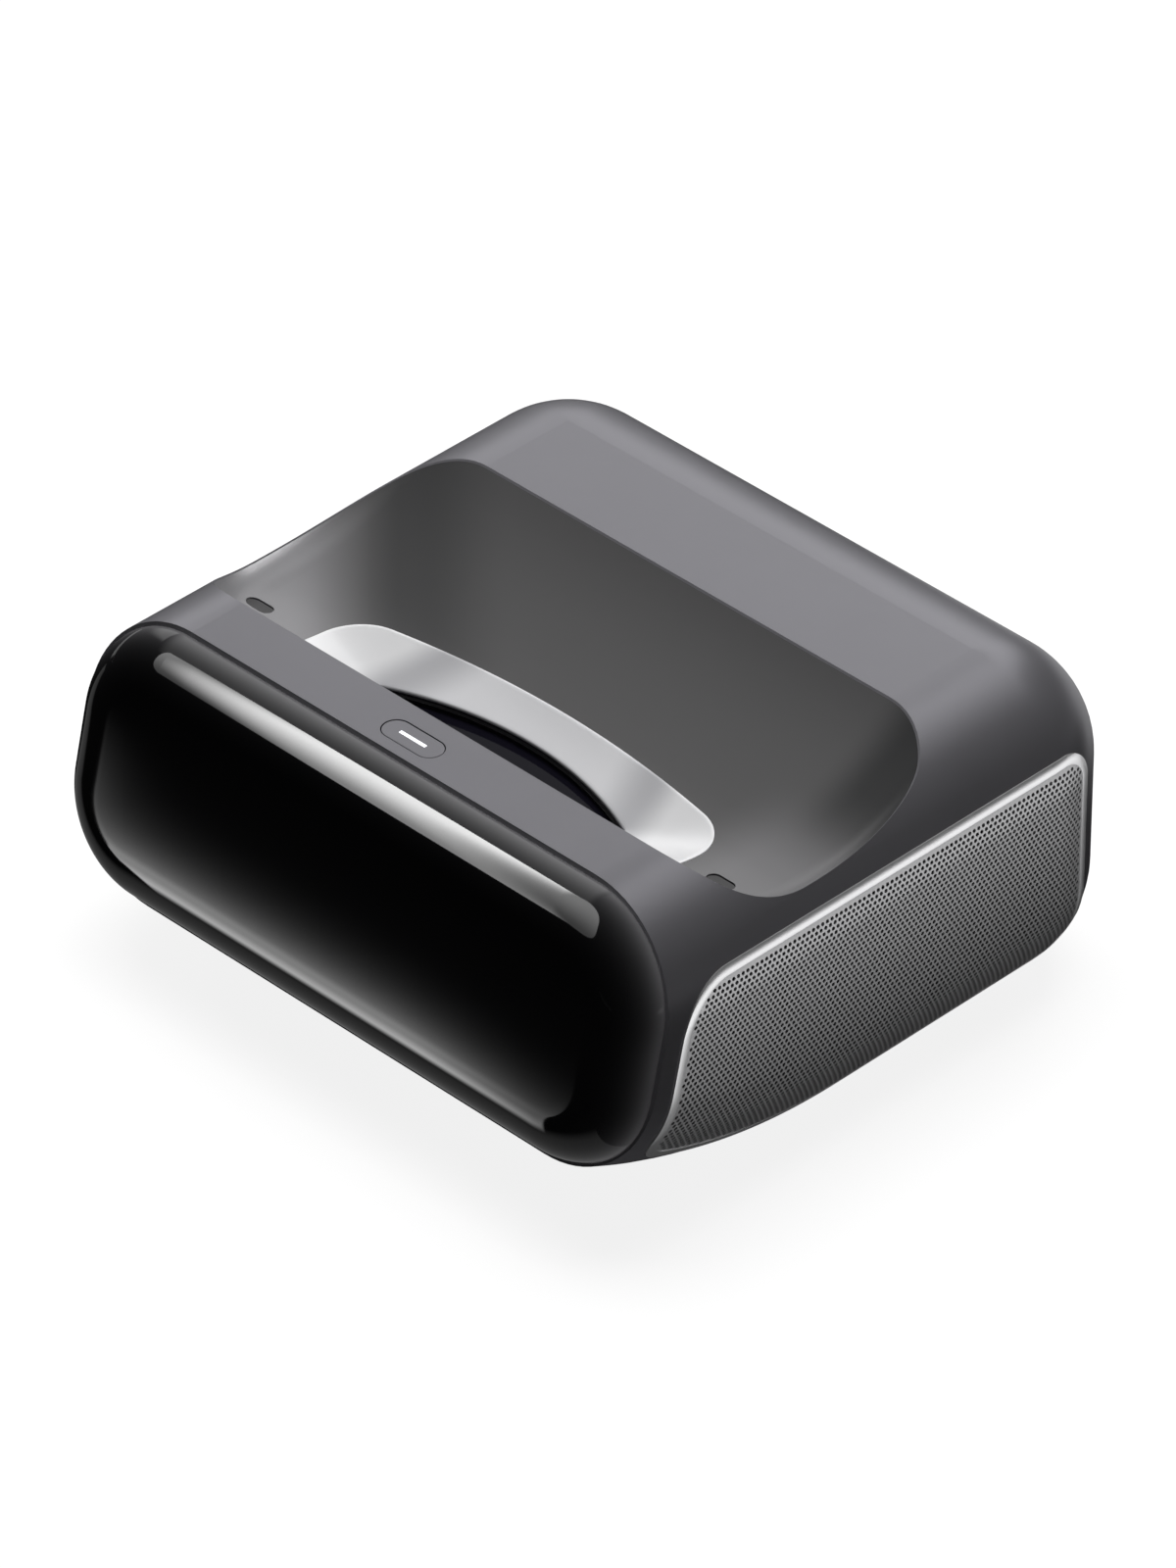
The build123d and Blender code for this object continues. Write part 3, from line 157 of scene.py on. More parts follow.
class Paint:
    """Builds one material from nodes."""

    def __init__(self, name: str) -> None:
        """Start an empty material with its output node.

        Args:
            name: name of the material.
        """
        self.material = bpy.data.materials.new(name)
        self.material.use_nodes = True
        self.tree = self.material.node_tree
        self.tree.nodes.clear()
        self.end = self.tree.nodes.new("ShaderNodeOutputMaterial")

    def node(self, kind: str, settings: dict, values: dict, out: Union[str, int] = 0) -> Sock:
        """Add one node of any type.

        Args:
            kind: type of the node, without the ShaderNode in front.
            settings: what the node itself is set to.
            values: sockets by name or place, each a number, colour or other socket.
            out: which output is wanted.

        Returns:
            That output.
        """
        node = self.tree.nodes.new("ShaderNode" + kind)
        for key, value in settings.items():
            setattr(node, key, value)
        for key, value in values.items():
            if isinstance(value, Sock):
                self.tree.links.new(value.out, node.inputs[key])
            elif isinstance(value, tuple) and len(value) == 3 and node.inputs[key].type == "RGBA":
                node.inputs[key].default_value = (*value, 1.0)
            else:
                node.inputs[key].default_value = value
        return Sock(self.tree, node.outputs[out])

    def place(self) -> Sock:
        """Object coordinates, in metres from the origin."""
        return self.node("TexCoord", {}, {}, "Object")

    def axes(self) -> tuple[Sock, Sock, Sock]:
        """Object coordinates as three values in metres."""
        outs = self.node("SeparateXYZ", {}, {0: self.place()}).out.node.outputs
        return tuple(Sock(self.tree, outs[i]) for i in range(3))

    def stretched(self, scale: Colour) -> Sock:
        """Object coordinates stretched along the axes."""
        return self.node("Mapping", {}, {"Vector": self.place(), "Scale": scale})

    def noise(self, size: float, detail: float = 2.0, vector: Union[Sock, None] = None) -> Sock:
        """Noise from 0 to 1.

        Args:
            size: rough size of a patch in millimetres.
            detail: octaves of finer noise.
            vector: coordinates, or None for the object's own.

        Returns:
            The noise value.
        """
        where = vector if vector is not None else self.place()
        return self.node("TexNoise", {}, {"Vector": where, "Scale": 1 / MM / size, "Detail": detail})

    def cells(self, size: float) -> Sock:
        """Distance in a Voronoi pattern of cells of about the given size in millimetres."""
        return self.node("TexVoronoi", {}, {"Vector": self.place(), "Scale": 1 / MM / size}, "Distance")

    def blend(self, factor: Value, low: Value, high: Value) -> Sock:
        """Colour that goes from low to high as the factor goes from 0 to 1."""
        return self.node("Mix", {"data_type": "RGBA"}, {0: factor, 6: low, 7: high}, 2)

    def bump(self, height: Sock, depth: float) -> Sock:
        """Normal bumped by a relief from 0 to 1 that is depth millimetres high."""
        return self.node("Bump", {}, {"Height": height, "Distance": depth * MM, "Strength": 1.0})

    def close(self, shader: Sock) -> bpy.types.Material:
        """Finish the material with a shader."""
        self.tree.links.new(shader.out, self.end.inputs["Surface"])
        return self.material

    def light(self, strength: Value) -> bpy.types.Material:
        """Finish the material as plain white light."""
        return self.close(self.node("Emission", {}, {"Strength": strength}))


def scaled(colour: Colour, by: float, plus: float = 0.0) -> Colour:
    """Colour with each part multiplied, and raised by the same amount."""
    return tuple(part * by + plus for part in colour)


class Finish:
    """A finish that makes one material with one Principled shader."""

    def dress(self, name: str) -> bpy.types.Material:
        """Build the material under a name."""
        paint = Paint(name)
        return paint.close(paint.node("BsdfPrincipled", {}, self.values(paint)))

    def values(self, paint: Paint) -> dict:
        """Sockets of the shader."""
        raise NotImplementedError


@dataclass(frozen=True)
class Moulded(Finish):
    """Moulded or painted plastic: a fine spark texture and slow changes of tone and gloss."""

    colour: Colour
    rough: float = 0.45
    grain: float = 0.35
    depth: float = 0.012
    mottle: float = 0.04
    metallic: float = 0.0
    specular: float = 0.5

    def values(self, paint: Paint) -> dict:
        """Sockets of the shader.

        Args:
            paint: the material being made.

        Returns:
            Sockets of the shader by name, each with its value.
        """
        slow, fine = paint.noise(38.0, 3.0), paint.noise(self.grain)
        return {"Base Color": self.tone(paint, slow),
                "Roughness": self.rough + (slow - 0.5) * 0.06 + (fine - 0.5) * 0.04,
                "Metallic": self.metallic, "Specular IOR Level": self.specular,
                "Normal": paint.bump(fine, self.depth)}

    def tone(self, paint: Paint, slow: Sock) -> Sock:
        """Base colour, a little lighter and darker in slow patches."""
        dark, light = scaled(self.colour, 1.0 - self.mottle), scaled(self.colour, 1.0 + self.mottle)
        return paint.blend(slow.rise(0.3, 0.7), dark, light)


@dataclass(frozen=True)
class Dished(Moulded):
    """Moulded tray with painted light: a painted highlight on its left wall and its right front bowl, and
    painted shade before the left wall and on the right wall.
    """

    # painted highlight colour (lit) and painted shade colour (dim), then the spans where each is painted
    lit: Colour = (0.25, 0.247, 0.256)
    dim: Colour = (0.045, 0.045, 0.046)
    left: Span = (-0.16, -0.112)
    dip_in: Span = (-0.125, -0.1)
    dip_out: Span = (-0.088, -0.04)
    bowl_x: Span = (0.082, 0.112)
    bowl_y: Span = (-0.03, 0.012)
    wall_x: Span = (0.1, 0.12)
    wall_y: Span = (-0.015, 0.02)

    def tone(self, paint: Paint, slow: Sock) -> Sock:
        """Base colour with the painted highlight and the painted shade; the left side's spans lie along X +
        Y.

        Args:
            paint: the material being made.
            slow: slow noise, left out of this tone.

        Returns:
            The colour.
        """
        x, y, _ = paint.axes()
        along = x + y
        # painted shade in a dip before the left wall and on the right wall; painted highlight on the left
        # wall and in the right front bowl
        shade_dip = along.rise(*self.dip_in) * along.fall(*self.dip_out) * 0.7
        bowl = x.rise(*self.bowl_x) * y.fall(*self.bowl_y) * 0.55
        wall = x.rise(*self.wall_x) * y.rise(*self.wall_y)
        tone = paint.blend(along.fall(*self.left).most(bowl), self.colour, self.lit)
        return paint.blend(shade_dip.most(wall), tone, self.dim)


@dataclass(frozen=True)
class Lacquer(Finish):
    """High-gloss lacquer over black with a painted grey sheen along the rim, a trace of orange peel and dust.
    """

    colour: Colour
    painted_rim_sheen: Colour
    lean: float
    rim_at: float
    depth: float = 0.0036
    less_z: Span = (0.09, 0.139)
    dusty: Colour = (0.05, 0.05, 0.055)
    rough: float = 0.03
    peel: float = 0.0012

    def values(self, paint: Paint) -> dict:
        """Sockets of the shader; the painted sheen at the rim fades with the height over the leaning rim.

        Args:
            paint: the material being made.

        Returns:
            Sockets of the shader by name, each with its value.
        """
        dust = paint.cells(5.5).rise(0.035, 0.0)
        _, y, z = paint.axes()
        height = z * math.sin(self.lean) - y * math.cos(self.lean) - self.rim_at
        # painted sheen: grey along the rolled edge next to the rim, weaker towards the top
        rim = (height.most(0.0) / -self.depth).fading() * (1.0 - z.rise(*self.less_z) * 0.6)
        return {"Base Color": paint.blend(rim, paint.blend(dust * 0.25, self.colour, self.dusty), self.painted_rim_sheen),
                "Roughness": self.rough + paint.noise(60.0, 3.0) * 0.02 + dust * 0.1,
                "IOR": 1.5, "Normal": paint.bump(paint.noise(9.0, 1.0), self.peel)}


@dataclass(frozen=True)
class Flake(Finish):
    """Satin metal paint: pale base with a fine sparkle of flakes."""

    colour: Colour
    rough: float = 0.36
    metallic: float = 0.6

    def values(self, paint: Paint) -> dict:
        """Sockets of the shader.

        Args:
            paint: the material being made.

        Returns:
            Sockets of the shader by name, each with its value.
        """
        flakes = paint.cells(0.22)
        return {"Base Color": paint.blend(flakes.rise(0.1, 0.6), self.colour, scaled(self.colour, 0.93)),
                "Metallic": self.metallic,
                "Roughness": self.rough + (paint.noise(25.0, 3.0) - 0.5) * 0.05 + (flakes - 0.4) * 0.05,
                "Normal": paint.bump(flakes, 0.004)}


@dataclass(frozen=True)
class Funnel(Finish):
    """Satin silver with painted light: a painted highlight at the funnel's two ends, painted shade in a
    darker turn before each, and painted shade on the lip.
    """

    # base silver, the painted shade of the turn, and the painted highlight at the two ends
    middle: Colour
    turn: Colour
    end: Colour
    turn_x: Span = (0.026, 0.047)
    end_x: Span = (0.048, 0.063)
    lip_z: Span = (0.1091, 0.1100)
    rough: float = 0.33
    metallic: float = 0.6

    def values(self, paint: Paint) -> dict:
        """Sockets of the shader.

        Args:
            paint: the material being made.

        Returns:
            Sockets of the shader by name, each with its value.
        """
        x, y, z = paint.axes()
        side = abs(x) + y * 0.3
        flakes = paint.cells(0.22)
        # painted shade in a darker turn, then a painted highlight at each end
        tone = paint.blend(side.rise(*self.turn_x), self.middle, self.turn)
        tone = paint.blend(side.rise(*self.end_x), tone, self.end)
        fine = paint.noise(0.3, 1.0) - 0.5
        # painted shade on the lip where it rolls down into the opening
        return {"Base Color": paint.blend(z.rise(*self.lip_z), scaled(self.middle, 0.3), tone),
                "Metallic": self.metallic,
                "Roughness": self.rough + (flakes - 0.4) * 0.06 + fine * 0.06,
                "Normal": paint.bump(flakes, 0.004)}


@dataclass(frozen=True)
class Graded(Finish):
    """Metallic paint that darkens from one height down to another: painted shade towards the bottom."""

    low: Colour
    high: Colour
    low_z: float
    high_z: float
    rough: float = 0.4
    metallic: float = 0.5

    def values(self, paint: Paint) -> dict:
        """Sockets of the shader.

        Args:
            paint: the material being made.

        Returns:
            Sockets of the shader by name, each with its value.
        """
        z = paint.axes()[2]
        speck = paint.noise(0.25, 1.0) - 0.5
        # painted shade: the colour darkens towards the bottom
        share = z.rise(self.low_z, self.high_z) + speck * 0.12
        return {"Base Color": paint.blend(share, self.low, self.high), "Metallic": self.metallic,
                "Roughness": self.rough + speck * 0.12, "Normal": paint.bump(speck, 0.004)}


@dataclass(frozen=True)
class Brushed(Finish):
    """Bare metal drawn or rolled along one axis, with streaks and small stains."""

    colour: Colour
    along: Axis = Axis.Y
    rough: float = 0.32
    streak: float = 0.35
    metallic: float = 1.0

    def values(self, paint: Paint) -> dict:
        """Sockets of the shader.

        Args:
            paint: the material being made.

        Returns:
            Sockets of the shader by name, each with its value.
        """
        scale = tuple(0.04 if a else 1.0 for a in self.along.value)
        lines = paint.noise(self.streak, 2.0, paint.stretched(scale))
        return {"Base Color": paint.blend(lines.rise(0.25, 0.75), scaled(self.colour, 0.86), self.colour),
                "Metallic": self.metallic,
                "Roughness": self.rough + (lines - 0.5) * 0.12 + (paint.noise(14.0, 4.0) - 0.5) * 0.1,
                "Normal": paint.bump(lines, 0.006)}


@dataclass(frozen=True)
class Cast(Finish):
    """Cast or blasted metal: coarse grain with shallow pits."""

    colour: Colour
    rough: float = 0.5
    metallic: float = 0.9

    def values(self, paint: Paint) -> dict:
        """Sockets of the shader.

        Args:
            paint: the material being made.

        Returns:
            Sockets of the shader by name, each with its value.
        """
        grain, pits = paint.noise(0.9, 4.0), paint.cells(1.6).rise(0.12, 0.0)
        return {"Base Color": paint.blend(grain.rise(0.2, 0.8), scaled(self.colour, 0.75), self.colour),
                "Metallic": self.metallic, "Roughness": self.rough + (grain - 0.5) * 0.2,
                "Normal": paint.bump(grain - pits * 0.8, 0.05)}


@dataclass(frozen=True)
class Glass(Finish):
    """Coated glass: clear or smoked, with a faint tint of its coating towards grazing views."""

    colour: Colour
    coating: Colour
    rough: float = 0.02
    clear: float = 0.8
    ior: float = 1.5

    def values(self, paint: Paint) -> dict:
        """Sockets of the shader.

        Args:
            paint: the material being made.

        Returns:
            Sockets of the shader by name, each with its value.
        """
        facing = paint.node("LayerWeight", {}, {"Blend": 0.35}, "Facing")
        smear = paint.noise(22.0, 3.0).rise(0.55, 0.8)
        return {"Base Color": paint.blend(facing.rise(0.2, 0.95), self.colour, self.coating),
                "Roughness": self.rough + smear * 0.03, "IOR": self.ior, "Transmission Weight": self.clear}


@dataclass(frozen=True)
class Rubber(Finish):
    """Matt rubber with a chalky bloom."""

    colour: Colour

    def values(self, paint: Paint) -> dict:
        """Sockets of the shader.

        Args:
            paint: the material being made.

        Returns:
            Sockets of the shader by name, each with its value.
        """
        bloom, fine = paint.noise(6.0, 4.0), paint.noise(0.5)
        return {"Base Color": paint.blend(bloom.rise(0.45, 0.8), self.colour, scaled(self.colour, 1.8, 0.01)),
                "Roughness": 0.78 + (fine - 0.5) * 0.2, "Specular IOR Level": 0.3,
                "Normal": paint.bump(fine, 0.03)}


@dataclass(frozen=True)
class Board(Finish):
    """Circuit board: solder mask over copper runs, with tinned pads."""

    colour: Colour
    tin: Colour = (0.62, 0.6, 0.56)
    pitch: float = 2.54

    def values(self, paint: Paint) -> dict:
        """Sockets of the shader.

        Args:
            paint: the material being made.

        Returns:
            Sockets of the shader by name, each with its value.
        """
        x, y, z = paint.axes()
        bend = (paint.noise(16.0, 0.0) - 0.5) * 0.012
        runs = abs(((x + y + z + bend) % (self.pitch * MM)) - self.pitch * MM / 2)
        copper = runs.rise(0.00042, 0.0002)
        pads = paint.cells(self.pitch * 1.7).rise(0.17, 0.12)
        mask = paint.blend(copper, self.colour, scaled(self.colour, 1.7, 0.01))
        return {"Base Color": paint.blend(pads, mask, self.tin),
                "Metallic": pads * 0.9, "Roughness": 0.32 + pads * 0.1,
                "Normal": paint.bump(copper + pads, 0.04)}


@dataclass(frozen=True)
class Glow(Finish):
    """Translucent light guide, softly lit along its middle."""

    colour: Colour
    strength: float = 0.6

    def values(self, paint: Paint) -> dict:
        """Sockets of the shader.

        Args:
            paint: the material being made.

        Returns:
            Sockets of the shader by name, each with its value.
        """
        cloud = paint.noise(2.5)
        tone = paint.blend(cloud, self.colour, (1.0, 1.0, 1.0))
        return {"Base Color": tone, "Roughness": 0.35, "Emission Color": tone,
                "Emission Strength": self.strength, "Normal": paint.bump(cloud, 0.01)}


@dataclass(frozen=True)
class Pulp(Finish):
    """Pressed paper of a speaker cone, with fibres."""

    colour: Colour

    def values(self, paint: Paint) -> dict:
        """Sockets of the shader.

        Args:
            paint: the material being made.

        Returns:
            Sockets of the shader by name, each with its value.
        """
        fibre = paint.noise(0.8, 4.0, paint.stretched((1.0, 0.3, 1.0)))
        return {"Base Color": paint.blend(fibre.rise(0.4, 0.75), self.colour, scaled(self.colour, 1.5)),
                "Roughness": 0.85 + (fibre - 0.5) * 0.1, "Normal": paint.bump(fibre, 0.06)}


PANEL_LEAN = math.atan(0.235)
PANEL_RIM = 0.1015 * math.cos(PANEL_LEAN) + 0.141 * math.sin(PANEL_LEAN)
GREY = (0.31, 0.305, 0.33)
FINISHES: dict[str, Finish] = {
    "body_shell": Moulded(GREY, rough=0.36, grain=0.3, depth=0.006, mottle=0.02,
                          metallic=0.7, specular=0.4),
    # front panel: gloss black with a painted grey sheen at the rim
    "front_gloss": Lacquer((0.0016, 0.0016, 0.0018), (0.34, 0.335, 0.35), PANEL_LEAN, PANEL_RIM),
    # scoop tray: dark moulding with a painted highlight and painted shade
    "scoop_dark": Dished((0.1, 0.099, 0.1), rough=0.38, depth=0.008, metallic=0.3),
    # lens surround: satin silver with painted highlight ends and painted shade in the turns and on the lip
    "surround_silver": Funnel((0.88, 0.88, 0.9), (0.58, 0.58, 0.6), (0.93, 0.93, 0.94), metallic=0.5),
    "collar_dark": Moulded((0.006, 0.006, 0.0065), rough=0.3, grain=0.3, depth=0.004),
    "window_glass": Glass((0.006, 0.006, 0.009), (0.03, 0.02, 0.06), clear=0.4, ior=1.16),
    "sensor_glass": Glass((0.004, 0.004, 0.005), (0.01, 0.005, 0.01), clear=0.0),
    "grille_metal": Flake((0.93, 0.93, 0.94), rough=0.3, metallic=0.8),
    # grille sheet: painted shade, darker towards the bottom
    "grille_sheet": Graded((0.34, 0.34, 0.345), (0.62, 0.62, 0.63), 0.01, 0.112, rough=0.38, metallic=0.5),
    "button_cap": Moulded(GREY, rough=0.34, grain=0.3, depth=0.004, mottle=0.02,
                          metallic=0.7, specular=0.4),
    "light_white": Glow((0.9, 0.93, 1.0)),
    "base_plastic": Moulded((0.03, 0.03, 0.032), rough=0.6, grain=0.5, depth=0.03),
    "rear_plastic": Moulded((0.026, 0.026, 0.028), rough=0.55, grain=0.45, depth=0.025),
    "foot_rubber": Rubber((0.018, 0.018, 0.018)),
    "screw_steel": Brushed((0.55, 0.55, 0.57), Axis.Z, 0.3),
    "insert_brass": Brushed((0.72, 0.52, 0.24), Axis.Z, 0.25),
    "sheet_steel": Brushed((0.6, 0.61, 0.62), Axis.X, 0.4, 0.8),
    "cast_case": Cast((0.42, 0.42, 0.44)),
    "barrel_black": Brushed((0.03, 0.03, 0.034), Axis.X, 0.35, 0.3, 0.6),
    "ring_plastic": Moulded((0.035, 0.035, 0.038), rough=0.5),
    "gear_white": Moulded((0.72, 0.72, 0.68), rough=0.4),
    "motor_can": Brushed((0.6, 0.6, 0.62), Axis.Y, 0.25),
    "lens_glass": Glass((0.9, 0.94, 0.96), (0.45, 0.25, 0.7), 0.0, 1.0),
    "mirror_face": Brushed((0.9, 0.9, 0.92), Axis.X, 0.03, 3.0),
    "laser_metal": Cast((0.16, 0.16, 0.18), 0.42),
    "copper_pipe": Brushed((0.78, 0.38, 0.22), Axis.Y, 0.28),
    "fin_metal": Brushed((0.78, 0.78, 0.8), Axis.Z, 0.3),
    "fan_plastic": Moulded((0.022, 0.022, 0.024), rough=0.42),
    "speaker_plastic": Moulded((0.025, 0.025, 0.026), rough=0.6, grain=0.6, depth=0.04),
    "driver_steel": Moulded((0.05, 0.05, 0.05), rough=0.35, metallic=0.5),
    "cone_paper": Pulp((0.035, 0.035, 0.038)),
    "board_green": Board((0.012, 0.09, 0.045)),
    "port_steel": Brushed((0.62, 0.62, 0.63), Axis.Y, 0.28),
    "port_black": Moulded((0.014, 0.014, 0.015), rough=0.45),
    "frame_plastic": Moulded((0.03, 0.03, 0.033), rough=0.6),
    "liner_cloth": Rubber((0.004, 0.004, 0.0045)),
}


class Wardrobe:
    """Makes each finish once and hands it out by name."""

    def __init__(self) -> None:
        """Start with no material made."""
        self.made: dict[str, bpy.types.Material] = {}

    def get(self, name: str) -> bpy.types.Material:
        """The material of a finish, made on first use.

        Args:
            name: name of the finish.

        Returns:
            The material.
        """
        if name not in self.made:
            self.made[name] = FINISHES[name].dress(name)
        return self.made[name]


WARDROBE = Wardrobe()


def add_piece(name: str, points: Array, faces: Sequence, finish: str,
              replaces: Sequence[str] = (), crease: float = 40.0) -> None:
    """Put a worked-out surface into the scene as one piece.

    Args:
        name: name of the piece.
        points: N by 3 places in millimetres.
        faces: faces as rows of point numbers; a list of arrays may mix triangles and quads.
        finish: name of the finish.
        replaces: solids that the piece stands for.
        crease: edges that turn by more than this many degrees stay sharp.
    """
    mesh = bpy.data.meshes.new(name)
    rows = [row for block in faces for row in np.asarray(block).tolist()]
    mesh.from_pydata((np.asarray(points) * MM).tolist(), [], rows)
    mesh.polygons.foreach_set("use_smooth", np.ones(len(mesh.polygons), dtype=bool))
    mesh.set_sharp_from_angle(angle=math.radians(crease))
    mesh.materials.append(WARDROBE.get(finish))
    mesh.validate()
    piece = bpy.data.objects.new(name, mesh)
    bpy.context.scene.collection.objects.link(piece)
    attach(piece, "base")
    if replaces:
        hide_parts(*replaces)
    LOG.info("%s: %d faces", name, len(mesh.polygons))


def ring_quads(rows: int, columns: int) -> Array:
    """Quads of a grid of points whose rows close on themselves.

    Args:
        rows: number of rows.
        columns: points in each row.

    Returns:
        M by 4 point numbers, turning from a column to the next and then to the next row.
    """
    i, j = np.meshgrid(np.arange(rows - 1), np.arange(columns), indexing="ij")
    k = (j + 1) % columns
    quads = np.stack([i * columns + j, i * columns + k, (i + 1) * columns + k, (i + 1) * columns + j], -1)
    return quads.reshape(-1, 4)


def arc(centre: Colour, radius: float, start: float, end: float, count: int) -> tuple[Array, Array]:
    """Points and outward normals on a flat arc.

    Args:
        centre: centre of the circle, two values.
        radius: its radius.
        start: first angle in radians.
        end: last angle in radians.
        count: number of points.

    Returns:
        Points and normals, each count by 2: centre plus radius times (cos, sin) of the angle.
    """
    turn = np.linspace(start, end, count)
    normal = np.stack([np.cos(turn), np.sin(turn)], -1)
    return np.asarray(centre) + radius * normal, normal


def straight(start: Sequence[float], end: Sequence[float], count: int) -> tuple[Array, Array]:
    """Points and right-hand normals on a flat straight run, without its ends.

    Args:
        start: first point.
        end: last point.
        count: number of points between them.

    Returns:
        Points and normals; the normal is the run's direction turned a quarter turn clockwise.
    """
    a, b = np.asarray(start, float), np.asarray(end, float)
    share = np.linspace(0.0, 1.0, count + 2)[1:-1, None]
    way = (b - a) / np.linalg.norm(b - a)
    return a + share * (b - a), np.tile([way[1], -way[0]], (count, 1))


def level(places: Array, z: float) -> Array:
    """Places of a plan put at one height."""
    return np.column_stack([places, np.full(len(places), z)])


def rounded(corners: Sequence[tuple]) -> tuple[Array, Array]:
    """Closed outline of arcs with straight runs between them.

    Args:
        corners: for each arc the number of points on the straight run before it, 0 for no run, and
            then what arc() takes.

    Returns:
        Points and outward normals.
    """
    arcs = [arc(*corner[1:]) for corner in corners]
    runs = []
    for i, corner in enumerate(corners):
        if corner[0]:
            runs.append(straight(arcs[i - 1][0][-1], arcs[i][0][0], corner[0]))
        runs.append(arcs[i])
    return np.concatenate([p[:-1] for p, _ in runs]), np.concatenate([n[:-1] for _, n in runs])


@dataclass
class Shell:
    """Outer form of the housing: every point lies one corner radius from an inner core."""

    half_w: float = 149.25
    corner: float = 45.5
    top: float = 141.0
    base: float = 3.0
    rear: float = 137.0
    chin_y: float = -13.0
    chin_r: float = 255.0
    rim_top_y: float = -101.5
    lean: float = 0.235

    def rim_y(self, z: float) -> float:
        """Y of the leaning rim at height z."""
        return self.rim_top_y - self.lean * (self.top - z)

    def chin_meet(self, radius: float, gap: float) -> tuple[float, float]:
        """Where a chin arc of a given radius meets the rim line moved back by a gap, as (Y, Z).

        Args:
            radius: radius of the chin's arc.
            gap: how far the rim line moves back.

        Returns:
            Y and Z of the place.
        """
        centre_z, turn = self.base + self.chin_r, 0.0
        for _ in range(40):
            z = centre_z - radius * math.cos(turn)
            turn = math.asin(min(1.0, (self.chin_y - self.rim_y(z) - gap) / radius))
        z = centre_z - radius * math.cos(turn)
        return self.rim_y(z) + gap, z

    def low_core(self, y: Array) -> Array:
        """Height of the core's lower side: level at the rear, rising with the chin in front.

        Args:
            y: Y of each place.

        Returns:
            Z of the core's lower side at each place.
        """
        ahead = np.minimum(y - self.chin_y, 0.0)
        radius = self.chin_r - self.corner
        return self.base + self.chin_r - np.sqrt(radius**2 - ahead**2)

    def skin(self, y: Array, z: Array) -> tuple[Array, Array]:
        """Core point and outward normal under each place of the right side.

        Args:
            y: Y of each place.
            z: Z of each place.

        Returns:
            The nearest core point and the unit normal there; the skin grown by g is the core point
            plus (corner radius + g) times the normal.
        """
        core_y = np.minimum(y, self.rear - self.corner)
        core_z = np.minimum(z, self.top - self.corner)
        radius, centre_z = self.chin_r - self.corner, self.base + self.chin_r
        ahead = np.minimum(y - self.chin_y, 0.0)
        reach = np.hypot(ahead, z - centre_z)
        outside = (reach > radius) & (z < self.top - self.corner)
        scale = np.where(outside, radius / np.maximum(reach, 1.0), 1.0)
        chin = y < self.chin_y
        core_y = np.where(chin & outside, self.chin_y + ahead * scale, core_y)
        core_z = np.where(outside, centre_z + (z - centre_z) * scale, core_z)
        off_y, off_z = y - core_y, z - core_z
        off_x = np.sqrt(np.maximum(self.corner**2 - off_y**2 - off_z**2, 0.0))
        core = np.stack([np.full_like(y, self.half_w - self.corner), core_y, core_z], -1)
        return core, np.stack([off_x, off_y, off_z], -1) / self.corner

    def rolled(self, u: Array, v: Array) -> tuple[Array, Array]:
        """Place on the side at a distance along it.

        Args:
            u: distance along Y, measured over the rear corner where it turns.
            v: distance down the side from the core's top, measured over the rounded edges.

        Returns:
            Y and Z of the places.
        """
        r, turn_y, turn_z = self.corner, self.rear - self.corner, self.top - self.corner
        y = np.where(u > turn_y, turn_y + r * np.sin(np.clip((u - turn_y) / r, 0, 1.5)), u)
        low = self.low_core(y)
        past = np.clip((v - (turn_z - low)) / r, 0.0, 1.4)
        reach = self.chin_r - r + r * np.sin(past)
        ahead = np.minimum(y - self.chin_y, 0.0)
        under = self.base + self.chin_r - np.sqrt(reach**2 - ahead**2)
        z = np.where(v < 0, turn_z + r * np.sin(np.clip(-v / r, 0, 1.5)), turn_z - v)
        return y, np.where(past > 0, under, z)


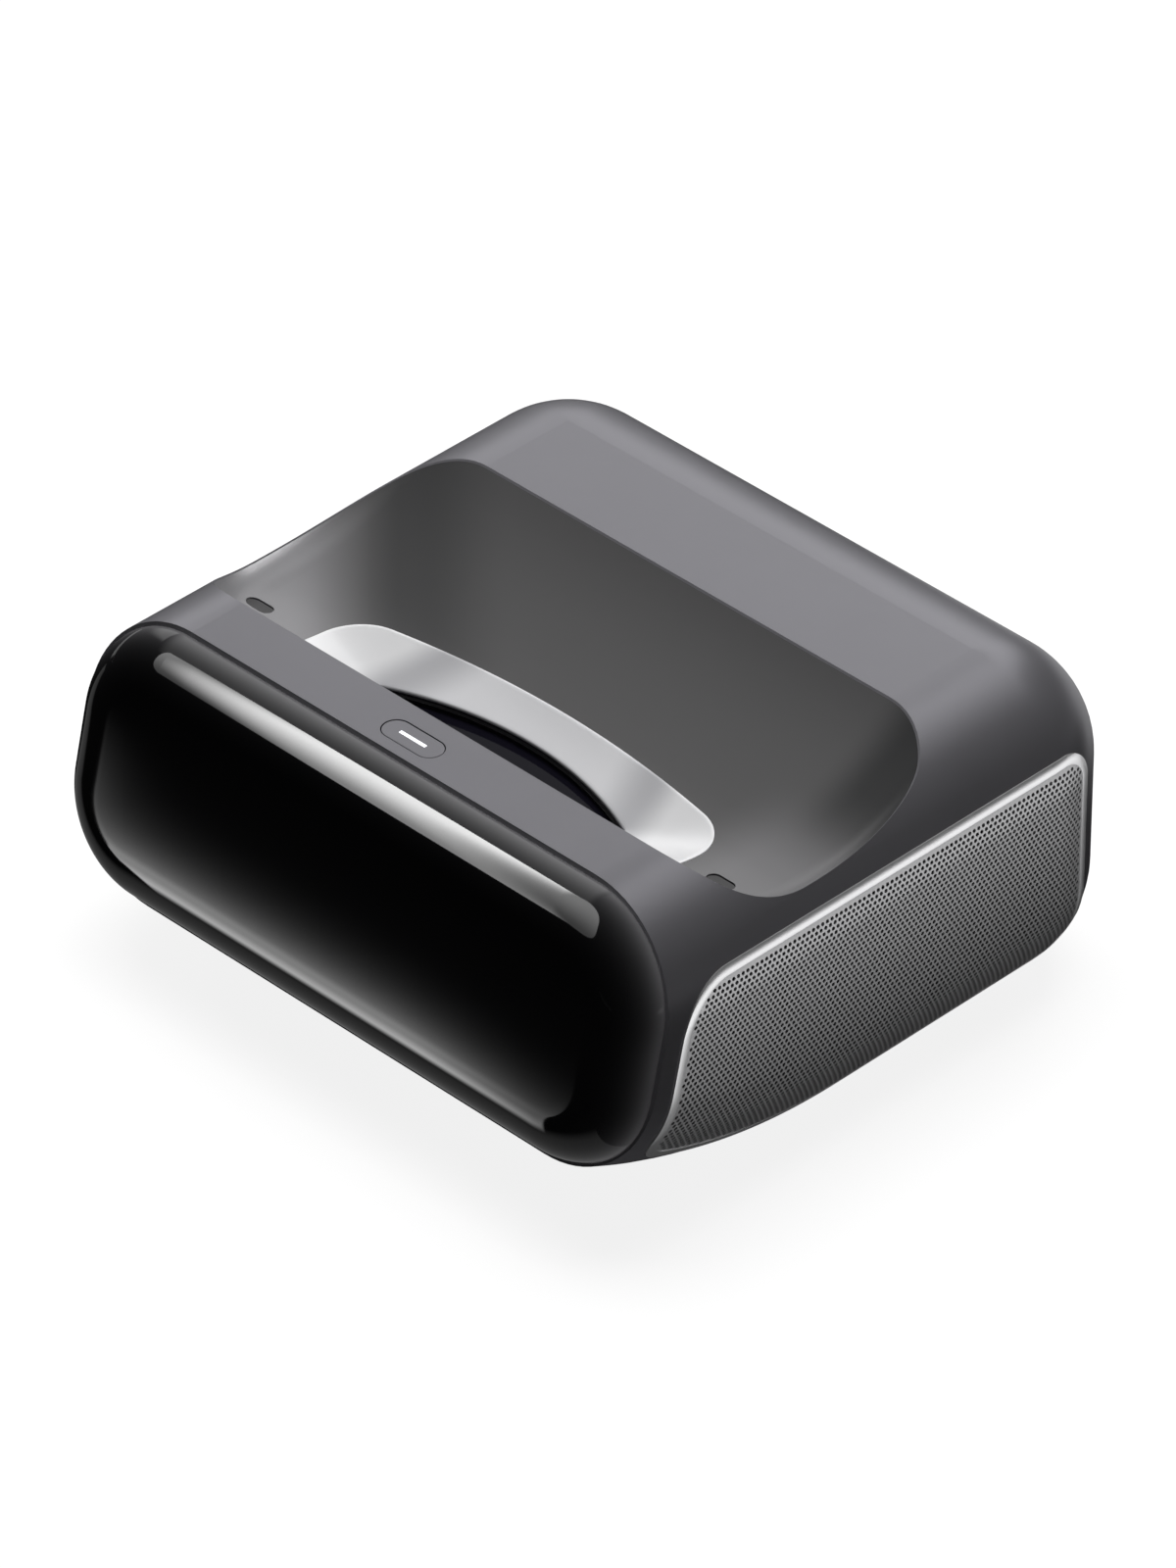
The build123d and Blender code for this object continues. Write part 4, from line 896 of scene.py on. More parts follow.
@dataclass
class Grille:
    """Perforated side grille: a raised band round a field of staggered round holes."""

    shell: Shell
    top_dz: float = 28.8
    rear_y: float = 109.0
    front_gap: float = 8.9
    low_dz: float = 14.0
    head_r: float = 26.0
    small_r: float = 14.0
    band: float = 4.0
    proud: float = 0.6
    sink: float = 0.3
    sheet: float = 0.9
    pitch: float = 2.38
    hole_r: float = 0.82
    tuck: float = 2.2
    cloth_pitch: float = 4.0
    cloth_deep: float = 1.4

    def outline(self) -> tuple[Array, Array]:
        """Closed outline in (Y, Z), anticlockwise seen from the right, with outward normals.

        Returns:
            Points and normals, each N by 2.
        """
        s, r = self.shell, self.small_r
        top, low = s.top - self.top_dz, s.base + self.low_dz
        chin = s.chin_r - self.low_dz
        centre = np.array([s.chin_y, s.base + s.chin_r])
        way = np.array([-s.lean, -1.0]) / math.hypot(s.lean, 1.0)
        facing = np.array([-1.0, s.lean]) / math.hypot(s.lean, 1.0)
        foot = np.array([s.rim_y(top) + self.front_gap, top])
        inner = foot - facing * r
        ahead = inner - centre
        half, rest = ahead @ way, ahead @ ahead - (chin - r)**2
        corner = inner + way * (-half + math.sqrt(half**2 - rest))
        lean_angle = math.atan2(facing[1], facing[0])
        low_angle = math.atan2(*(corner - centre)[::-1])
        reach = self.head_r * math.tan((PI / 2 - math.atan(s.lean)) / 2)
        head = np.array([foot[0] + reach, top - self.head_r])
        return rounded([
            (34, corner, r, lean_angle % (2 * PI), low_angle % (2 * PI), 16),
            (0, centre, chin, low_angle % (2 * PI), 1.5 * PI, 44),
            (44, (self.rear_y - r, low + r), r, -PI / 2, 0.0, 16),
            (30, (self.rear_y - r, top - r), r, 0.0, PI / 2, 16),
            (70, head, self.head_r, PI / 2, lean_angle % (2 * PI), 22)])

    def depth_inside(self, places: Array) -> Array:
        """Distance of each (Y, Z) place inside the outline, negative outside it.

        Args:
            places: N by 2 places, Y and Z.

        Returns:
            The N distances.
        """
        ring, _ = self.outline()
        after = np.roll(ring, -1, axis=0)
        edge = after - ring
        size = np.maximum((edge**2).sum(1), 1e-9)
        to = places[:, None, :] - ring[None]
        share = np.clip((to * edge).sum(2) / size, 0.0, 1.0)
        near = np.sqrt(((to - share[..., None] * edge)**2).sum(2)).min(1)
        above = (ring[None, :, 1] > places[:, None, 1]) != (after[None, :, 1] > places[:, None, 1])
        slope = np.where(np.abs(edge[:, 1]) < 1e-12, 1e-12, edge[:, 1])
        crossing = ring[None, :, 0] + (places[:, None, 1] - ring[None, :, 1]) * edge[None, :, 0] / slope
        inside = (above & (places[:, None, 0] < crossing)).sum(1) % 2 == 1
        return np.where(inside, near, -near)

    def on_skin(self, y: Array, z: Array, grow: Array) -> Array:
        """Places on the skin grown by a distance."""
        core, normal = self.shell.skin(y, z)
        return core + (self.shell.corner + np.asarray(grow))[..., None] * normal

    def band_mesh(self) -> tuple[Array, list]:
        """Band swept round the outline; its section rises, crosses and falls with rounded edges.

        Returns:
            Points and faces, as add_piece takes them.
        """
        ring, out = self.outline()
        wide = self.band
        section = ((0.0, 1.5), (0.0, 0.25), (0.07, 0.08), (0.25, 0.0), (wide / 2, 0.0), (wide - 0.3, 0.0),
                   (wide - 0.08, 0.1), (wide, self.sink), (wide, 1.5))
        rows = [self.on_skin(*(ring - out * inset).T, np.full(len(ring), self.proud - drop))
                for inset, drop in section]
        return np.concatenate(rows), [ring_quads(len(section), len(ring))]

    def honeycomb(self, pitch: float) -> tuple[Array, Array, Array, Array]:
        """Staggered hexagonal cells inside the band, as distances (u, v) along the skin.

        Args:
            pitch: distance from a cell to the next.

        Returns:
            The cells' middles, their depth inside the outline, the corner places that cells share,
            and the numbers of each cell's six corners.
        """
        j, i = np.meshgrid(np.arange(-30, 110), np.arange(-60, 140), indexing="ij")
        u, v = (i + 0.5 * (j % 2)) * pitch, j * (pitch * math.sqrt(3) / 2)
        near = np.abs(u) < 130
        u, v = u[near], v[near]
        depth = self.depth_inside(np.stack(self.shell.rolled(u, v), -1))
        use = (depth > self.band - self.tuck) & (v < 140)
        middles = np.stack([u[use], v[use]], -1)
        turn = np.radians(30 + 60 * np.arange(6))
        corner = np.stack([np.cos(turn), np.sin(turn)], -1) * pitch / math.sqrt(3)
        spots = (middles[:, None, :] + corner[None]).reshape(-1, 2)
        _, first, index = np.unique(np.round(spots / 0.01).astype(int), axis=0, return_index=True,
                                    return_inverse=True)
        return middles, depth[use], spots[first], index.reshape(-1, 6)

    def field_mesh(self) -> tuple[Array, list]:
        """Sheet of hexagonal cells, each with a round hole of twelve sides and its wall.

        Returns:
            Points and faces, as add_piece takes them.
        """
        middles, depth, shared, corners = self.honeycomb(self.pitch)
        holed = depth > self.band + self.hole_r * 0.9
        turn = np.radians(30 * np.arange(12))
        ring = np.stack([np.cos(turn), np.sin(turn)], -1) * self.hole_r
        holes = (middles[holed][:, None, :] + ring[None]).reshape(-1, 2)
        flat = np.concatenate([shared, holes, holes])
        grow = np.full(len(flat), self.proud - self.sink)
        grow[len(shared) + len(holes):] -= self.sheet
        points = self.on_skin(*self.shell.rolled(flat[:, 0], flat[:, 1]), grow)
        front = len(shared) + 12 * np.arange(holed.sum())
        back = front + len(holes)
        edge, faces = corners[holed], []
        for k in range(6):
            a, b = edge[:, k], edge[:, (k + 1) % 6]
            p, q, r = front + 2 * k + 1, front + (2 * k + 2) % 12, front + (2 * k + 3) % 12
            faces += [np.stack(row, -1) for row in ((a, b, q), (a, q, p), (b, r, q))]
        for m in range(12):
            n = (m + 1) % 12
            faces.append(np.stack([front + m, front + n, back + n, back + m], -1))
        return points, [face[:, ::-1] for face in faces + [corners[~holed]]]

    def liner_mesh(self) -> tuple[Array, list]:
        """Black cloth close behind the holes, as plain cells.

        Returns:
            Points and faces, as add_piece takes them.
        """
        _, _, flat, corners = self.honeycomb(self.cloth_pitch)
        points = self.on_skin(*self.shell.rolled(flat[:, 0], flat[:, 1]),
                              np.full(len(flat), self.proud - self.cloth_deep))
        return points, [corners[:, ::-1]]

    def build(self) -> None:
        """Build both grilles; the left one is the mirror image of the right."""
        for side, sign in (("right", 1.0), ("left", -1.0)):
            for part, (points, faces), finish in (
                    ("grille_band", self.band_mesh(), "grille_metal"),
                    ("grille_field", self.field_mesh(), "grille_sheet"),
                    ("grille_liner", self.liner_mesh(), "liner_cloth")):
                turned = faces if sign > 0 else [face[:, ::-1] for face in faces]
                gone = [side + "_grille"] if part == "grille_field" else []
                add_piece(f"{side}_{part}", points * np.array([sign, 1.0, 1.0]), turned, finish,
                          gone)


@dataclass
class Screws:
    """Pan heads of the cover screws, each with a cross recess."""

    shell: Shell
    side_x: float = 95.75
    inset_y: float = 12.0
    margin: float = 4.0
    base_z: float = 3.0
    head_r: float = 3.0
    head_h: float = 1.4
    slot_half: float = 0.42
    slot_reach: float = 1.9
    slot_depth: float = 0.9
    turns: int = 72

    def head(self) -> tuple[Array, Array]:
        """One head as a polar grid: height over (radius, turn), sunk inside the cross.

        The face domes slightly, a smooth cross of two bars goes down into it, and the last two
        rings go up its side to the cover.

        Returns:
            The head's points and its quads.
        """
        radii = np.concatenate([np.linspace(0.05, 2.3, 19), np.linspace(2.42, self.head_r - 0.3, 4)])
        turn = np.linspace(0.0, 2 * PI, self.turns + 1)[:-1]
        r, a = np.meshgrid(radii, turn, indexing="ij")
        x, y = r * np.cos(a), r * np.sin(a)
        near = np.minimum(np.abs(x), np.abs(y))
        wide = self.slot_half * (1.0 - 0.35 * r / self.slot_reach)
        wall = np.clip((wide - near) / 0.12 + 0.5, 0.0, 1.0)
        end = np.clip((self.slot_reach - r) / 0.5, 0.0, 1.0)
        z = 0.12 * (r / self.head_r)**2 + self.slot_depth * wall * end
        rings = [np.stack([x, y, z], -1).reshape(-1, 3)]
        for radius, height in ((self.head_r - 0.08, 0.22), (self.head_r, 0.42), (self.head_r, self.head_h)):
            rings.append(level(radius * np.stack([np.cos(turn), np.sin(turn)], -1), height))
        return np.concatenate(rings), ring_quads(len(radii) + 3, len(turn))

    def build(self) -> None:
        """Repeat the head at every spot."""
        head, quads = self.head()
        cap = np.arange(self.turns)[::-1][None]
        first = self.shell.chin_y + self.margin
        last = self.shell.rear - self.shell.corner - self.margin
        rows = (first + self.inset_y, (first + last) / 2, last - self.inset_y)
        places = np.array([(side * self.side_x, y, self.base_z) for side in (-1, 1) for y in rows])
        points = (head[None] + places[:, None]).reshape(-1, 3)
        shift = (np.arange(len(places)) * len(head))[:, None, None]
        faces = [(quads[None] + shift).reshape(-1, 4), (cap[None] + shift).reshape(-1, self.turns)]
        add_piece("cover_screw_heads", points, faces, "screw_steel", ["cover_screws"])


@dataclass
class FrontPanel:
    """Gloss panel: flat in the middle, rolled over all round down to the leaning rim."""

    shell: Shell
    lip: float = 2.1
    bulge: float = 15.98
    edge_r: float = 22.0
    top_r: float = 44.5
    low_r: float = 43.5
    skirt: float = 3.0

    def __post_init__(self) -> None:
        """Work out the lean, the outline's middle and half sizes, and how far in the flat begins."""
        s = self.shell
        low_z = s.chin_meet(s.chin_r, 0.0)[1]
        self.angle = math.atan(s.lean)
        self.middle = np.array([0.0, s.rim_y((s.top + low_z) / 2), (s.top + low_z) / 2])
        self.up = np.array([0.0, math.sin(self.angle), math.cos(self.angle)])
        self.facing = np.array([0.0, -math.cos(self.angle), math.sin(self.angle)])
        self.half_x = s.half_w - self.lip
        self.half_h = (s.top - low_z) / math.cos(self.angle) / 2 - self.lip
        self.start = math.asin((self.edge_r - self.bulge) / self.edge_r)
        self.spread = self.edge_r * math.cos(self.start)

    def outline(self) -> tuple[Array, Array]:
        """Rounded outline on the rim plane, as (across, up) from its middle, with normals.

        Returns:
            Points and normals, each N by 2.
        """
        half_x, half_h = self.half_x, self.half_h
        top, low = self.top_r - self.lip, self.low_r - self.lip
        return rounded([
            (8, (half_x - top, half_h - top), top, 0.0, PI / 2, 40),
            (30, (-half_x + top, half_h - top), top, PI / 2, PI, 40),
            (8, (-half_x + low, -half_h + low), low, PI, 1.5 * PI, 40),
            (30, (half_x - low, -half_h + low), low, 1.5 * PI, 2 * PI, 40)])

    def flat_frame(self) -> tuple[Array, Array, Array, float, float]:
        """Frame of the flat middle in metres.

        Returns:
            Its middle, its upward axis, the way it faces, and half its width and height.
        """
        return ((self.middle + self.facing * self.bulge) * MM, self.up, self.facing,
                (self.half_x - self.spread) * MM, (self.half_h - self.spread) * MM)

    def build(self) -> None:
        """Sweep the rolled edge round the outline and close it with the flat middle."""
        flat, out = self.outline()
        turn = np.linspace(self.start, PI / 2, 40)[1:]
        inset = self.spread - self.edge_r * np.cos(turn)
        height = self.bulge - self.edge_r + self.edge_r * np.sin(turn)
        inset = np.concatenate([[self.skirt, 0.6, 0.0, 0.0], inset, [self.spread + 4.0, self.spread + 12.0]])
        height = np.concatenate([[-4.0, -1.0, -0.6, 0.0], height, [self.bulge, self.bulge]])
        rows = []
        for w, h in zip(inset, height):
            place = flat - out * w
            row = self.middle + h * self.facing + place[:, 1:] * self.up
            row[:, 0] = place[:, 0]
            rows.append(row)
        count = len(flat)
        cap = np.arange((len(inset) - 1) * count, len(inset) * count)[None]
        add_piece("front_panel_skin", np.concatenate(rows), [ring_quads(len(inset), count), cap],
                  "front_gloss", ["front_panel"], crease=60.0)


@dataclass
class Scoop:
    """Form of the scoop's floor: a wide cylinder with a bowl along the walls."""

    top: float = 141.0
    radius: float = 128.5
    low_y: float = -30.0
    depth: float = 27.0
    half_x: float = 145.5
    corner: float = 41.5
    bowl: float = 16.5
    front: float = -76.0

    def height(self, x: Array, y: Array) -> Array:
        """Height of the floor at each place.

        The cylinder gives one height. Nearer to a wall than the bowl's radius, a ball that touches
        both the wall and the cylinder gives the other, and the higher one counts.

        Args:
            x: X of each place.
            y: Y of each place.

        Returns:
            Z of the floor at each place.
        """
        axis = self.top - self.depth + self.radius
        floor = axis - np.sqrt(self.radius**2 - (y - self.low_y)**2)
        ax = np.abs(x)
        cx, cy = self.half_x - self.corner, self.front + self.corner
        in_corner = (ax > cx) & (y < cy)
        gap = np.where(in_corner, self.corner - np.hypot(ax - cx, y - cy),
                       np.minimum(self.half_x - ax, y - self.front))
        gap = np.clip(gap, 0.0, self.bowl)
        ball_y = np.where(y - self.front < self.bowl, self.front + self.bowl, y)
        ball_z = axis - np.sqrt((self.radius - self.bowl)**2 - (ball_y - self.low_y)**2)
        bowl = ball_z - np.sqrt(self.bowl**2 - (self.bowl - gap)**2)
        return np.where(gap < self.bowl, np.maximum(floor, bowl), floor)


@dataclass
class Surround:
    """Silver lens surround: an arched funnel from the scoop's floor down to the dark opening."""

    scoop: Scoop
    half_x: float = 97.0
    front: float = -70.0
    side: float = -26.5
    back: float = -15.8
    corner: float = 20.0
    eye_half_x: float = 64.5
    eye_front: float = -63.0
    eye_side: float = -47.0
    eye_back: float = -32.0
    eye_corner: float = 5.0
    eye_z: float = 110.0
    foot_z: float = 105.0
    proud: float = 0.3
    land: float = 1.4
    collar_drop: float = 0.35

    @staticmethod
    def arched(half_x: float, front: float, side: float, back: float, r: float) -> tuple[Array, Array]:
        """Closed plan outline with a straight front, an arched back and rounded corners.

        Args:
            half_x: half its width.
            front: Y of the straight front.
            side: Y where the sides would meet the arch without rounding.
            back: Y of the arch's middle.
            r: radius of the four corners.

        Returns:
            Points and outward normals, anticlockwise from above, the same count for any sizes.
        """
        rise = back - side
        big = (half_x**2 + rise**2) / (2 * rise)
        middle = back - big
        turn_y = middle + math.sqrt((big - r)**2 - (half_x - r)**2)
        lean = math.atan2(turn_y - middle, half_x - r)
        return rounded([
            (30, (half_x - r, front + r), r, -PI / 2, 0.0, 16),
            (3, (half_x - r, turn_y), r, 0.0, lean, 20),
            (0, (0.0, middle), big, lean, PI - lean, 90),
            (0, (-half_x + r, turn_y), r, PI - lean, PI, 20),
            (3, (-half_x + r, front + r), r, PI, 1.5 * PI, 16)])

    def build(self) -> None:
        """Loft rows between the outer outline and the eye, then roll the lip down into the collar."""
        outer, out = self.arched(self.half_x, self.front, self.side, self.back, self.corner)
        eye, eye_out = self.arched(self.eye_half_x, self.eye_front, self.eye_side, self.eye_back,
                                   self.eye_corner)
        edge = self.scoop.height(outer[:, 0], outer[:, 1]) + self.proud
        rows = []
        for inset, drop in ((0.0, 1.8), (0.0, 0.25), (0.08, 0.07), (0.3, 0.0), (self.land, 0.02)):
            rows.append(np.column_stack([outer - out * inset, edge - drop]))
        mouth = outer - out * self.land
        lip = 1.1
        lip_place = eye + eye_out * lip
        for share in np.linspace(0.0, 1.0, 26)[1:]:
            sag = 0.02 + 0.35 * math.sin(PI * share)
            plan = mouth + (lip_place - mouth) * share
            height = edge + (self.eye_z + 0.1 - edge) * share
            rows.append(np.column_stack([plan, height - sag]))
        for turn in np.linspace(0.15, PI / 2, 8):
            rows.append(level(eye + eye_out * lip * (1 - math.sin(turn)),
                              self.eye_z - lip * (1 - math.cos(turn))))
        rows.append(level(eye, self.eye_z - lip - self.collar_drop))
        add_piece("lens_surround_skin", np.concatenate(rows), [ring_quads(len(rows), len(outer))],
                  "surround_silver", ["lens_surround"], crease=50.0)
        foot = self.foot_z - (self.eye_z - lip)
        rows = [level(eye - eye_out * inward, self.eye_z - lip + z) for inward, z in (
            (0.0, -self.collar_drop), (0.0, -1.2), (0.6, -1.45), (0.75, -1.7), (0.6, -1.95), (0.0, -2.2),
            (0.0, foot), (-2.5, foot))]
        add_piece("lens_collar", np.concatenate(rows), [ring_quads(len(rows), len(outer))],
                  "collar_dark", crease=50.0)


def oblong(x: Span, y: Span, z: float) -> list:
    """Corners of a level rectangle, anticlockwise from above when the spans rise."""
    return [(x[0], y[0], z), (x[1], y[0], z), (x[1], y[1], z), (x[0], y[1], z)]


@dataclass
class Studio:
    """Plain pale floor, soft lamps, dark flags, cards and the camera; sizes in metres."""

    eye: Colour = (2.16607, -2.16787, 2.33304)
    look: Colour = (0.04581, -0.04760, 0.12234)
    lens: float = 238.05
    floor_half: float = 6.0
    flag_half: float = 2.1
    horizon_r: float = 2.2
    box_middle: Span = (-0.485, -0.632)
    box_half: Span = (0.495, 0.35)
    box_slope: float = 0.727
    box_strength: float = 18.0
    card_z: float = 0.004
    card_top: float = 1.7
    grille_light: float = 0.95
    glow_low: float = 6.0
    glow_low_fade: float = 0.0062
    glow_side_fade: float = 0.011
    glow_far: float = 0.19
    glow_r: float = 0.022

    def camera(self) -> None:
        """Camera at the photographed angle."""
        data = bpy.data.cameras.new("camera")
        data.lens, data.sensor_width = self.lens, 36.0
        data.clip_start, data.clip_end = 0.1, 50.0
        cam = bpy.data.objects.new("camera", data)
        bpy.context.scene.collection.objects.link(cam)
        self.aim(cam, self.eye, self.look)
        bpy.context.scene.camera = cam

    @staticmethod
    def aim(thing: bpy.types.Object, place: Colour, target: Colour) -> None:
        """Put a camera or lamp at a place and turn it to a target.

        Args:
            thing: the camera or lamp.
            place: where it stands.
            target: what it points at.
        """
        way = np.asarray(target) - np.asarray(place)
        thing.location = place
        thing.rotation_euler = (math.atan2(math.hypot(way[0], way[1]), -way[2]), 0.0,
                                math.atan2(-way[0], way[1]))

    @staticmethod
    def seen(tree: bpy.types.NodeTree, rays: Sequence[bpy.types.NodeSocket]) -> Sock:
        """1 where the camera, a reflection or a clear piece shows the place, else 0.

        Args:
            tree: node tree that the nodes join.
            rays: outputs of its Light Path node.

        Returns:
            The share, 0 or 1.
        """
        camera, glossy, clear = (
            Sock(tree, rays[f"Is {ray} Ray"]) for ray in ("Camera", "Glossy", "Transmission"))
        every = camera + glossy + clear
        return every.math("MINIMUM", every, 1.0)

    def floor(self) -> None:
        """Matt floor that keeps the object's shadow, shows white and is clear from below."""
        paint = Paint("floor")
        seen = self.seen(paint.tree, paint.node("LightPath", {}, {}).out.node.outputs)
        matt = paint.node("BsdfDiffuse", {}, {"Color": paint.blend(seen, (0.15,) * 3, (0.2,) * 3)})
        light = paint.node("Emission", {}, {"Color": (1.0, 1.0, 1.0), "Strength": seen * 0.86})
        both = paint.node("AddShader", {}, {0: matt, 1: light})
        below = paint.node("NewGeometry", {}, {}, "Backfacing")
        clear = paint.node("BsdfTransparent", {}, {})
        half = (-self.floor_half, self.floor_half)
        floor = self.sheet("floor", oblong(half, half, 0.0), [[0, 1, 2, 3]],
                           paint.close(paint.node("MixShader", {}, {0: below, 1: both, 2: clear})))
        floor.visible_shadow = False

    @staticmethod
    def sheet(name: str, points: Sequence, faces: Sequence, material: bpy.types.Material,
              glossy_only: bool = False, pieces: Sequence[str] = ()) -> bpy.types.Object:
        """Add a stage sheet.

        Args:
            name: its name.
            points: its places in metres.
            faces: rows of point numbers.
            material: its material.
            glossy_only: True where only reflections show it.
            pieces: the only pieces that show it, or none for all of them.

        Returns:
            The sheet.
        """
        mesh = bpy.data.meshes.new(name)
        mesh.from_pydata(np.asarray(points).tolist(), [], np.asarray(faces).tolist())
        mesh.materials.append(material)
        sheet = bpy.data.objects.new(name, mesh)
        bpy.context.scene.collection.objects.link(sheet)
        if glossy_only:
            for rays in ("camera", "diffuse", "transmission", "shadow"):
                setattr(sheet, "visible_" + rays, False)
        if pieces:
            sheet.light_linking.receiver_collection = bpy.data.collections.new(name + "_shows_on")
            for piece in pieces:
                sheet.light_linking.receiver_collection.objects.link(bpy.data.objects[piece])
        return sheet

    def flag(self, name: str, points: Sequence, faces: Sequence, clear: Callable) -> None:
        """Add a black cloth that only reflections show.

        Args:
            name: its name.
            points: its places.
            faces: rows of point numbers.
            clear: gives, from the place's x, y and z, 1 where the cloth is clear and 0 where black.
        """
        paint = Paint(name)
        black, glass = paint.node("Emission", {}, {"Strength": 0.0}), paint.node("BsdfTransparent", {}, {})
        mixed = paint.node("MixShader", {}, {0: clear(*paint.axes()), 1: black, 2: glass})
        self.sheet(name, points, faces, paint.close(mixed), True)

    def flags(self) -> None:
        """Dark horizon, lower at the rear left; dark floor ahead; and a flag behind the softbox."""
        turn = np.linspace(0.0, 2 * PI, 49)[:-1]
        ring = np.stack([self.horizon_r * np.cos(turn), self.horizon_r * np.sin(turn)], -1)
        self.flag("horizon_flag", np.concatenate([level(ring, 0.0), level(ring, 3.0)]),
                  ring_quads(2, 48),
                  lambda x, y, z: (z + (y - x).rise(1.9, 3.0) * 1.7).rise(1.9, 2.7))
        wide = (-self.flag_half, self.flag_half)
        self.flag("floor_flag", oblong(wide, wide, 0.003), [[0, 1, 2, 3]], lambda x, y, z: (
            x.rise(0.15, 0.3) * y.rise(-0.2, -0.08) * 0.42).most(
            y.rise(0.2, 0.35).most((-x).rise(0.2, 0.35) * y.rise(-0.1, 0.0)) * 0.5))
        self.flag("ceiling_flag", oblong(wide, (-self.flag_half, 1.6), 1.75), [[0, 1, 2, 3]],
                  lambda x, y, z: (y - x * 0.5).rise(0.2, 1.6))

    def card(self, name: str, points: Sequence, strength: Callable, pieces: Sequence[str]) -> None:
        """Add a bright card that shows only in some pieces.

        Args:
            name: its name.
            points: its corners, all in one plane.
            strength: gives the light's strength from the place's x, y and z.
            pieces: names of the pieces that show it.
        """
        paint = Paint(name)
        self.sheet(name, points, [list(range(len(points)))], paint.light(strength(*paint.axes())),
                   True, pieces)

    def softbox(self) -> None:
        """Softbox ahead on the left, brightest along its top: x and y follow a rounded oblong."""
        turn = np.linspace(0.0, 2 * PI, 65)[:-1]
        x, y = (middle + half * np.sign(wave) * np.abs(wave)**0.75 for middle, half, wave in zip(
            self.box_middle, self.box_half, (np.cos(turn), np.sin(turn))))
        self.card("softbox", np.column_stack([x, y, 0.58 + self.box_slope * (y + 0.98)]), lambda x, y, z: (
            (0.2 + x.rise(-0.8, -0.69) * x.fall(-0.6, -0.5) * 0.8)
            * (0.24 + y.rise(-0.95, -0.35) * 0.76) * self.box_strength), ["front_panel_skin"])

    def floor_card(self, panel: "FrontPanel") -> None:
        """Card on the floor whose light lies along the lower edge and left side of the panel's flat.

        A place on the floor is seen in the panel where the line from it to the mirrored eye
        crosses the panel's plane; the light falls off with the distance inside the flat's edge.

        Args:
            panel: the front panel that shows the card.
        """
        origin, across_up, facing, half_x, half_h = panel.flat_frame()
        eye, ground = np.asarray(self.eye), np.array([0.0, 0.0, self.card_z])
        mirrored = eye - 2 * ((eye - origin) @ facing) * facing

        def strength(x: Sock, y: Sock, _: Sock) -> Sock:
            """Light of the card at a place.

            Args:
                x: X of the place on the floor.
                y: Y of the place.

            Returns:
                The light's strength.
            """
            share = ((origin - ground) @ facing - y * facing[1]) / (
                (mirrored - ground) @ facing - y * facing[1])
            seen_x, seen_y = x + (mirrored[0] - x) * share, y + (mirrored[1] - y) * share
            seen_z = (mirrored[2] - self.card_z) * share + self.card_z
            up = (seen_y - origin[1]) * across_up[1] + (seen_z - origin[2]) * across_up[2]
            low, left = up + half_h, seen_x + half_x
            lower = (low.most(0.0) / -self.glow_low_fade).fading() * self.glow_low
            lower = lower * (0.6 + 0.4 * low.fall(-0.039, 0.0)) * (1.0 - 0.7 * seen_x.rise(0.03, 0.125))
            beside = (left.most(0.0) / -self.glow_side_fade).fading() * up.fall(-0.035, 0.024)
            below = low.most(0.0) - (-low).most(0.0) * 0.077
            from_low = ((self.glow_r - 0.003) - below).most(0.0)
            from_side = (abs(seen_x) - (half_x - self.glow_r + 0.0015)).most(0.0)
            inside = self.glow_r - (from_low * from_low + from_side * from_side)**0.5
            return (lower + beside) * inside.rise(-0.0002, 0.0008) + self.glow_far * y.rise(-0.2, -0.165)

        self.card("floor_card", oblong((-0.8, 0.15), (-0.8, -0.09), self.card_z), strength,
                  ["front_panel_skin"])

    def far_cards(self) -> None:
        """Cards that show in the panel's upper rim and in the scoop's left wall."""
        self.card("upper_card", oblong((-2.1, -0.4), (-0.7, 1.4), self.card_top), lambda x, y, z: (
            (0.5 + 0.7 * y.rise(-0.4, 0.7)) * x.rise(-2.1, -1.3) * x.fall(-0.7, -0.4)), ["front_panel_skin"])
        self.card("scoop_card", [(0.95, 0.45, 0.4), (0.45, 0.95, 0.4), (0.45, 0.95, 1.0), (0.95, 0.45, 1.0)],
                  lambda x, y, z: 9.0 * z.rise(0.4, 0.6), ["scoop_panel"])

    def grille_cards(self) -> None:
        """Pale cards on the floor beside the grilles, dark next to the object."""
        for side, sign, front in (("right", 1.0, -1.8), ("left", -1.0, -0.1)):
            self.card(side + "_floor_card", oblong((sign * 0.155, sign), (front, 1.2), self.card_z + 0.002),
                      lambda x, y, z: ((x * sign).rise(0.2, 0.4) * 0.22 + (0.15 + self.grille_light
                                       * (x * sign).rise(0.18, 0.3)) * y.rise(-0.22, -0.08)),
                      [side + "_grille_band", side + "_grille_field"])

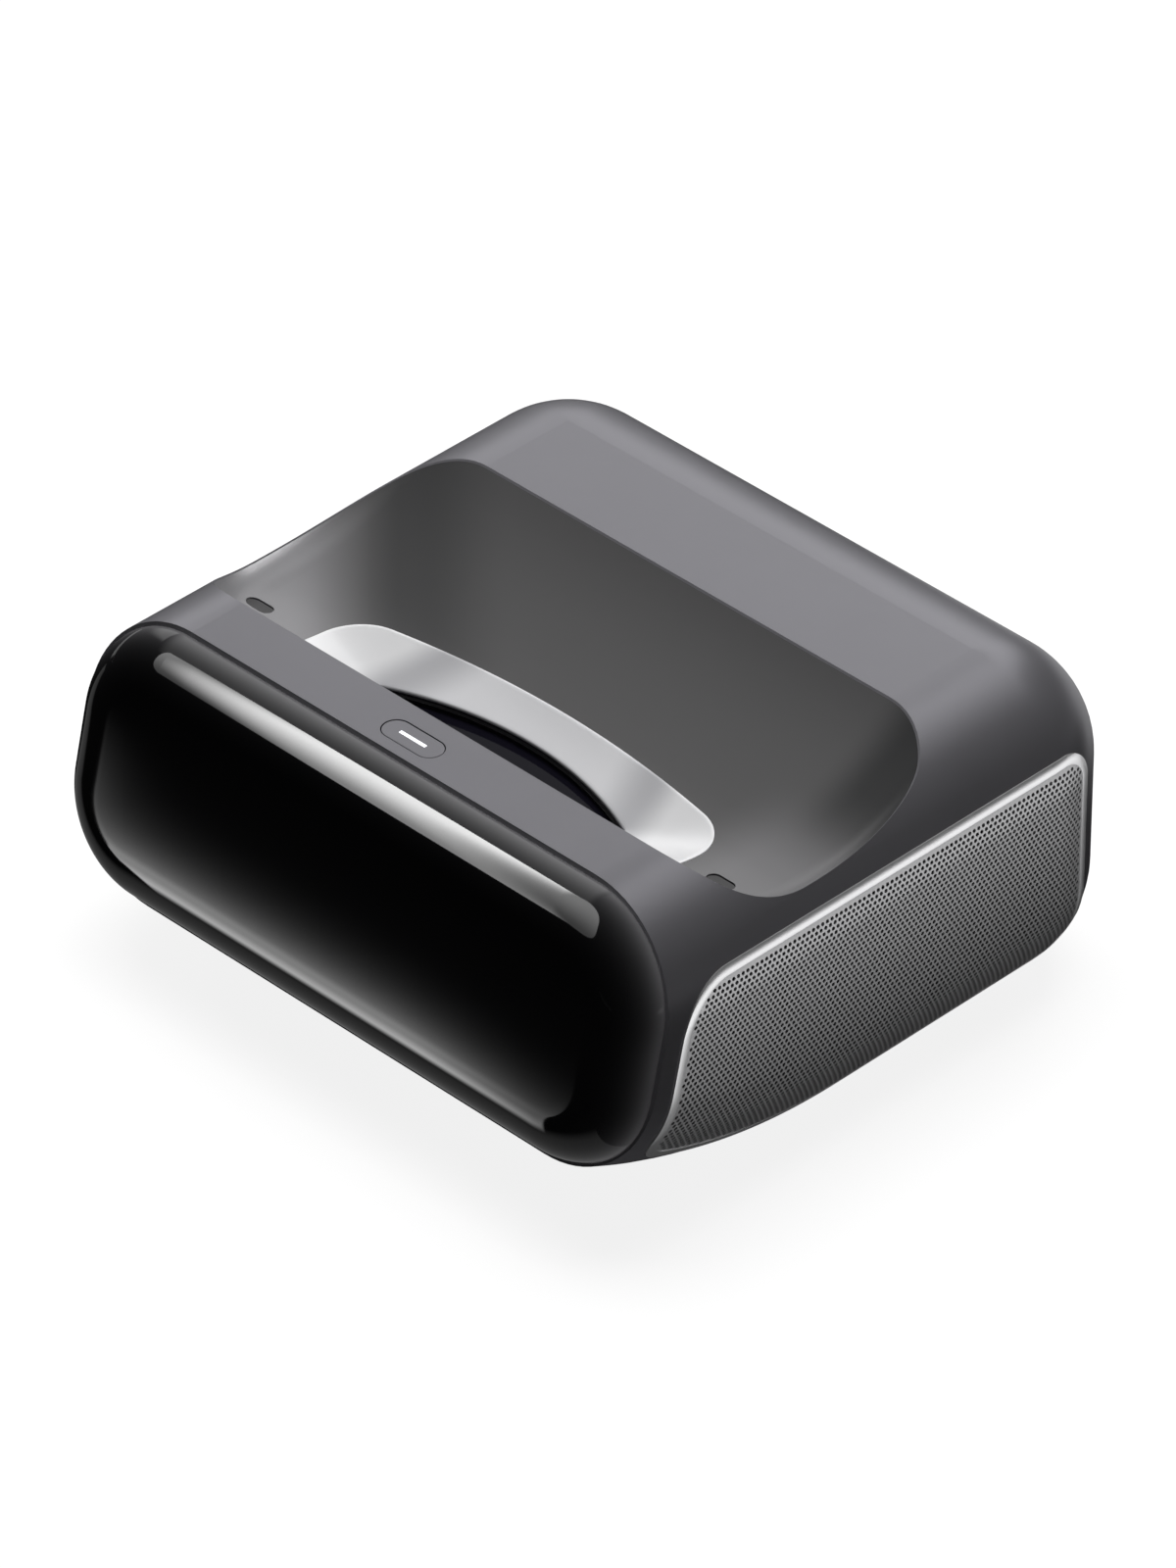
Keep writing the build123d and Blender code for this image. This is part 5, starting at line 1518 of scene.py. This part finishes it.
    def lamp(self, name: str, place: Colour, size: Span, power: float) -> None:
        """Soft lamp aimed at the object, kept out of reflections.

        Args:
            name: its name.
            place: where it stands.
            size: its width and height.
            power: its power in watts.
        """
        data = bpy.data.lights.new(name, "AREA")
        data.shape, data.size, data.size_y, data.energy = "RECTANGLE", size[0], size[1], power
        lamp = bpy.data.objects.new(name, data)
        bpy.context.scene.collection.objects.link(lamp)
        self.aim(lamp, place, (0.0, 0.0, 0.1))
        lamp.visible_glossy = False

    def world(self) -> None:
        """Soft dim world that shows white behind the object."""
        world = bpy.data.worlds.new("studio")
        world.use_nodes = True
        tree = world.node_tree
        tree.nodes.clear()
        end = tree.nodes.new("ShaderNodeOutputWorld")
        back = tree.nodes.new("ShaderNodeBackground")
        strength = 0.06 + self.seen(tree, tree.nodes.new("ShaderNodeLightPath").outputs) * 0.94
        tree.links.new(strength.out, back.inputs["Strength"])
        back.inputs["Color"].default_value = (1.0, 1.0, 1.0, 1.0)
        tree.links.new(back.outputs[0], end.inputs["Surface"])
        bpy.context.scene.world = world

    def build(self, panel: "FrontPanel") -> None:
        """Set the whole stage round the panel that shows it.

        Args:
            panel: the front panel that the stage is set round.
        """
        bpy.context.scene.view_settings.view_transform = "Standard"
        self.camera()
        self.floor()
        self.world()
        self.lamp("top_lamp", (-0.2, 0.2, 1.6), (1.6, 1.2), 32.0)
        self.lamp("rear_lamp", (-1.3, 1.5, 0.45), (1.0, 0.6), 11.0)
        self.lamp("low_lamp", (0.35, -0.1, -1.2), (1.4, 1.4), 9.0)
        self.flags()
        self.softbox()
        self.floor_card(panel)
        self.far_cards()
        self.grille_cards()


def dress_solids() -> None:
    """Give every solid of the frame the finish of its material slot."""
    for row in frame["record"]["subparts"]:
        solid = frame["nodes"].get(row["node"])
        if solid is not None:
            solid.data.materials.clear()
            solid.data.materials.append(WARDROBE.get(row["material_slot"]))


def main() -> None:
    """Build the pieces in order and set the stage."""
    logging.basicConfig(level=logging.INFO, format="%(message)s")
    shell = Shell()
    dress_solids()
    Grille(shell).build()
    panel = FrontPanel(shell)
    panel.build()
    Surround(Scoop()).build()
    Screws(shell).build()
    Studio().build(panel)


if __name__ == "__main__":
    main()
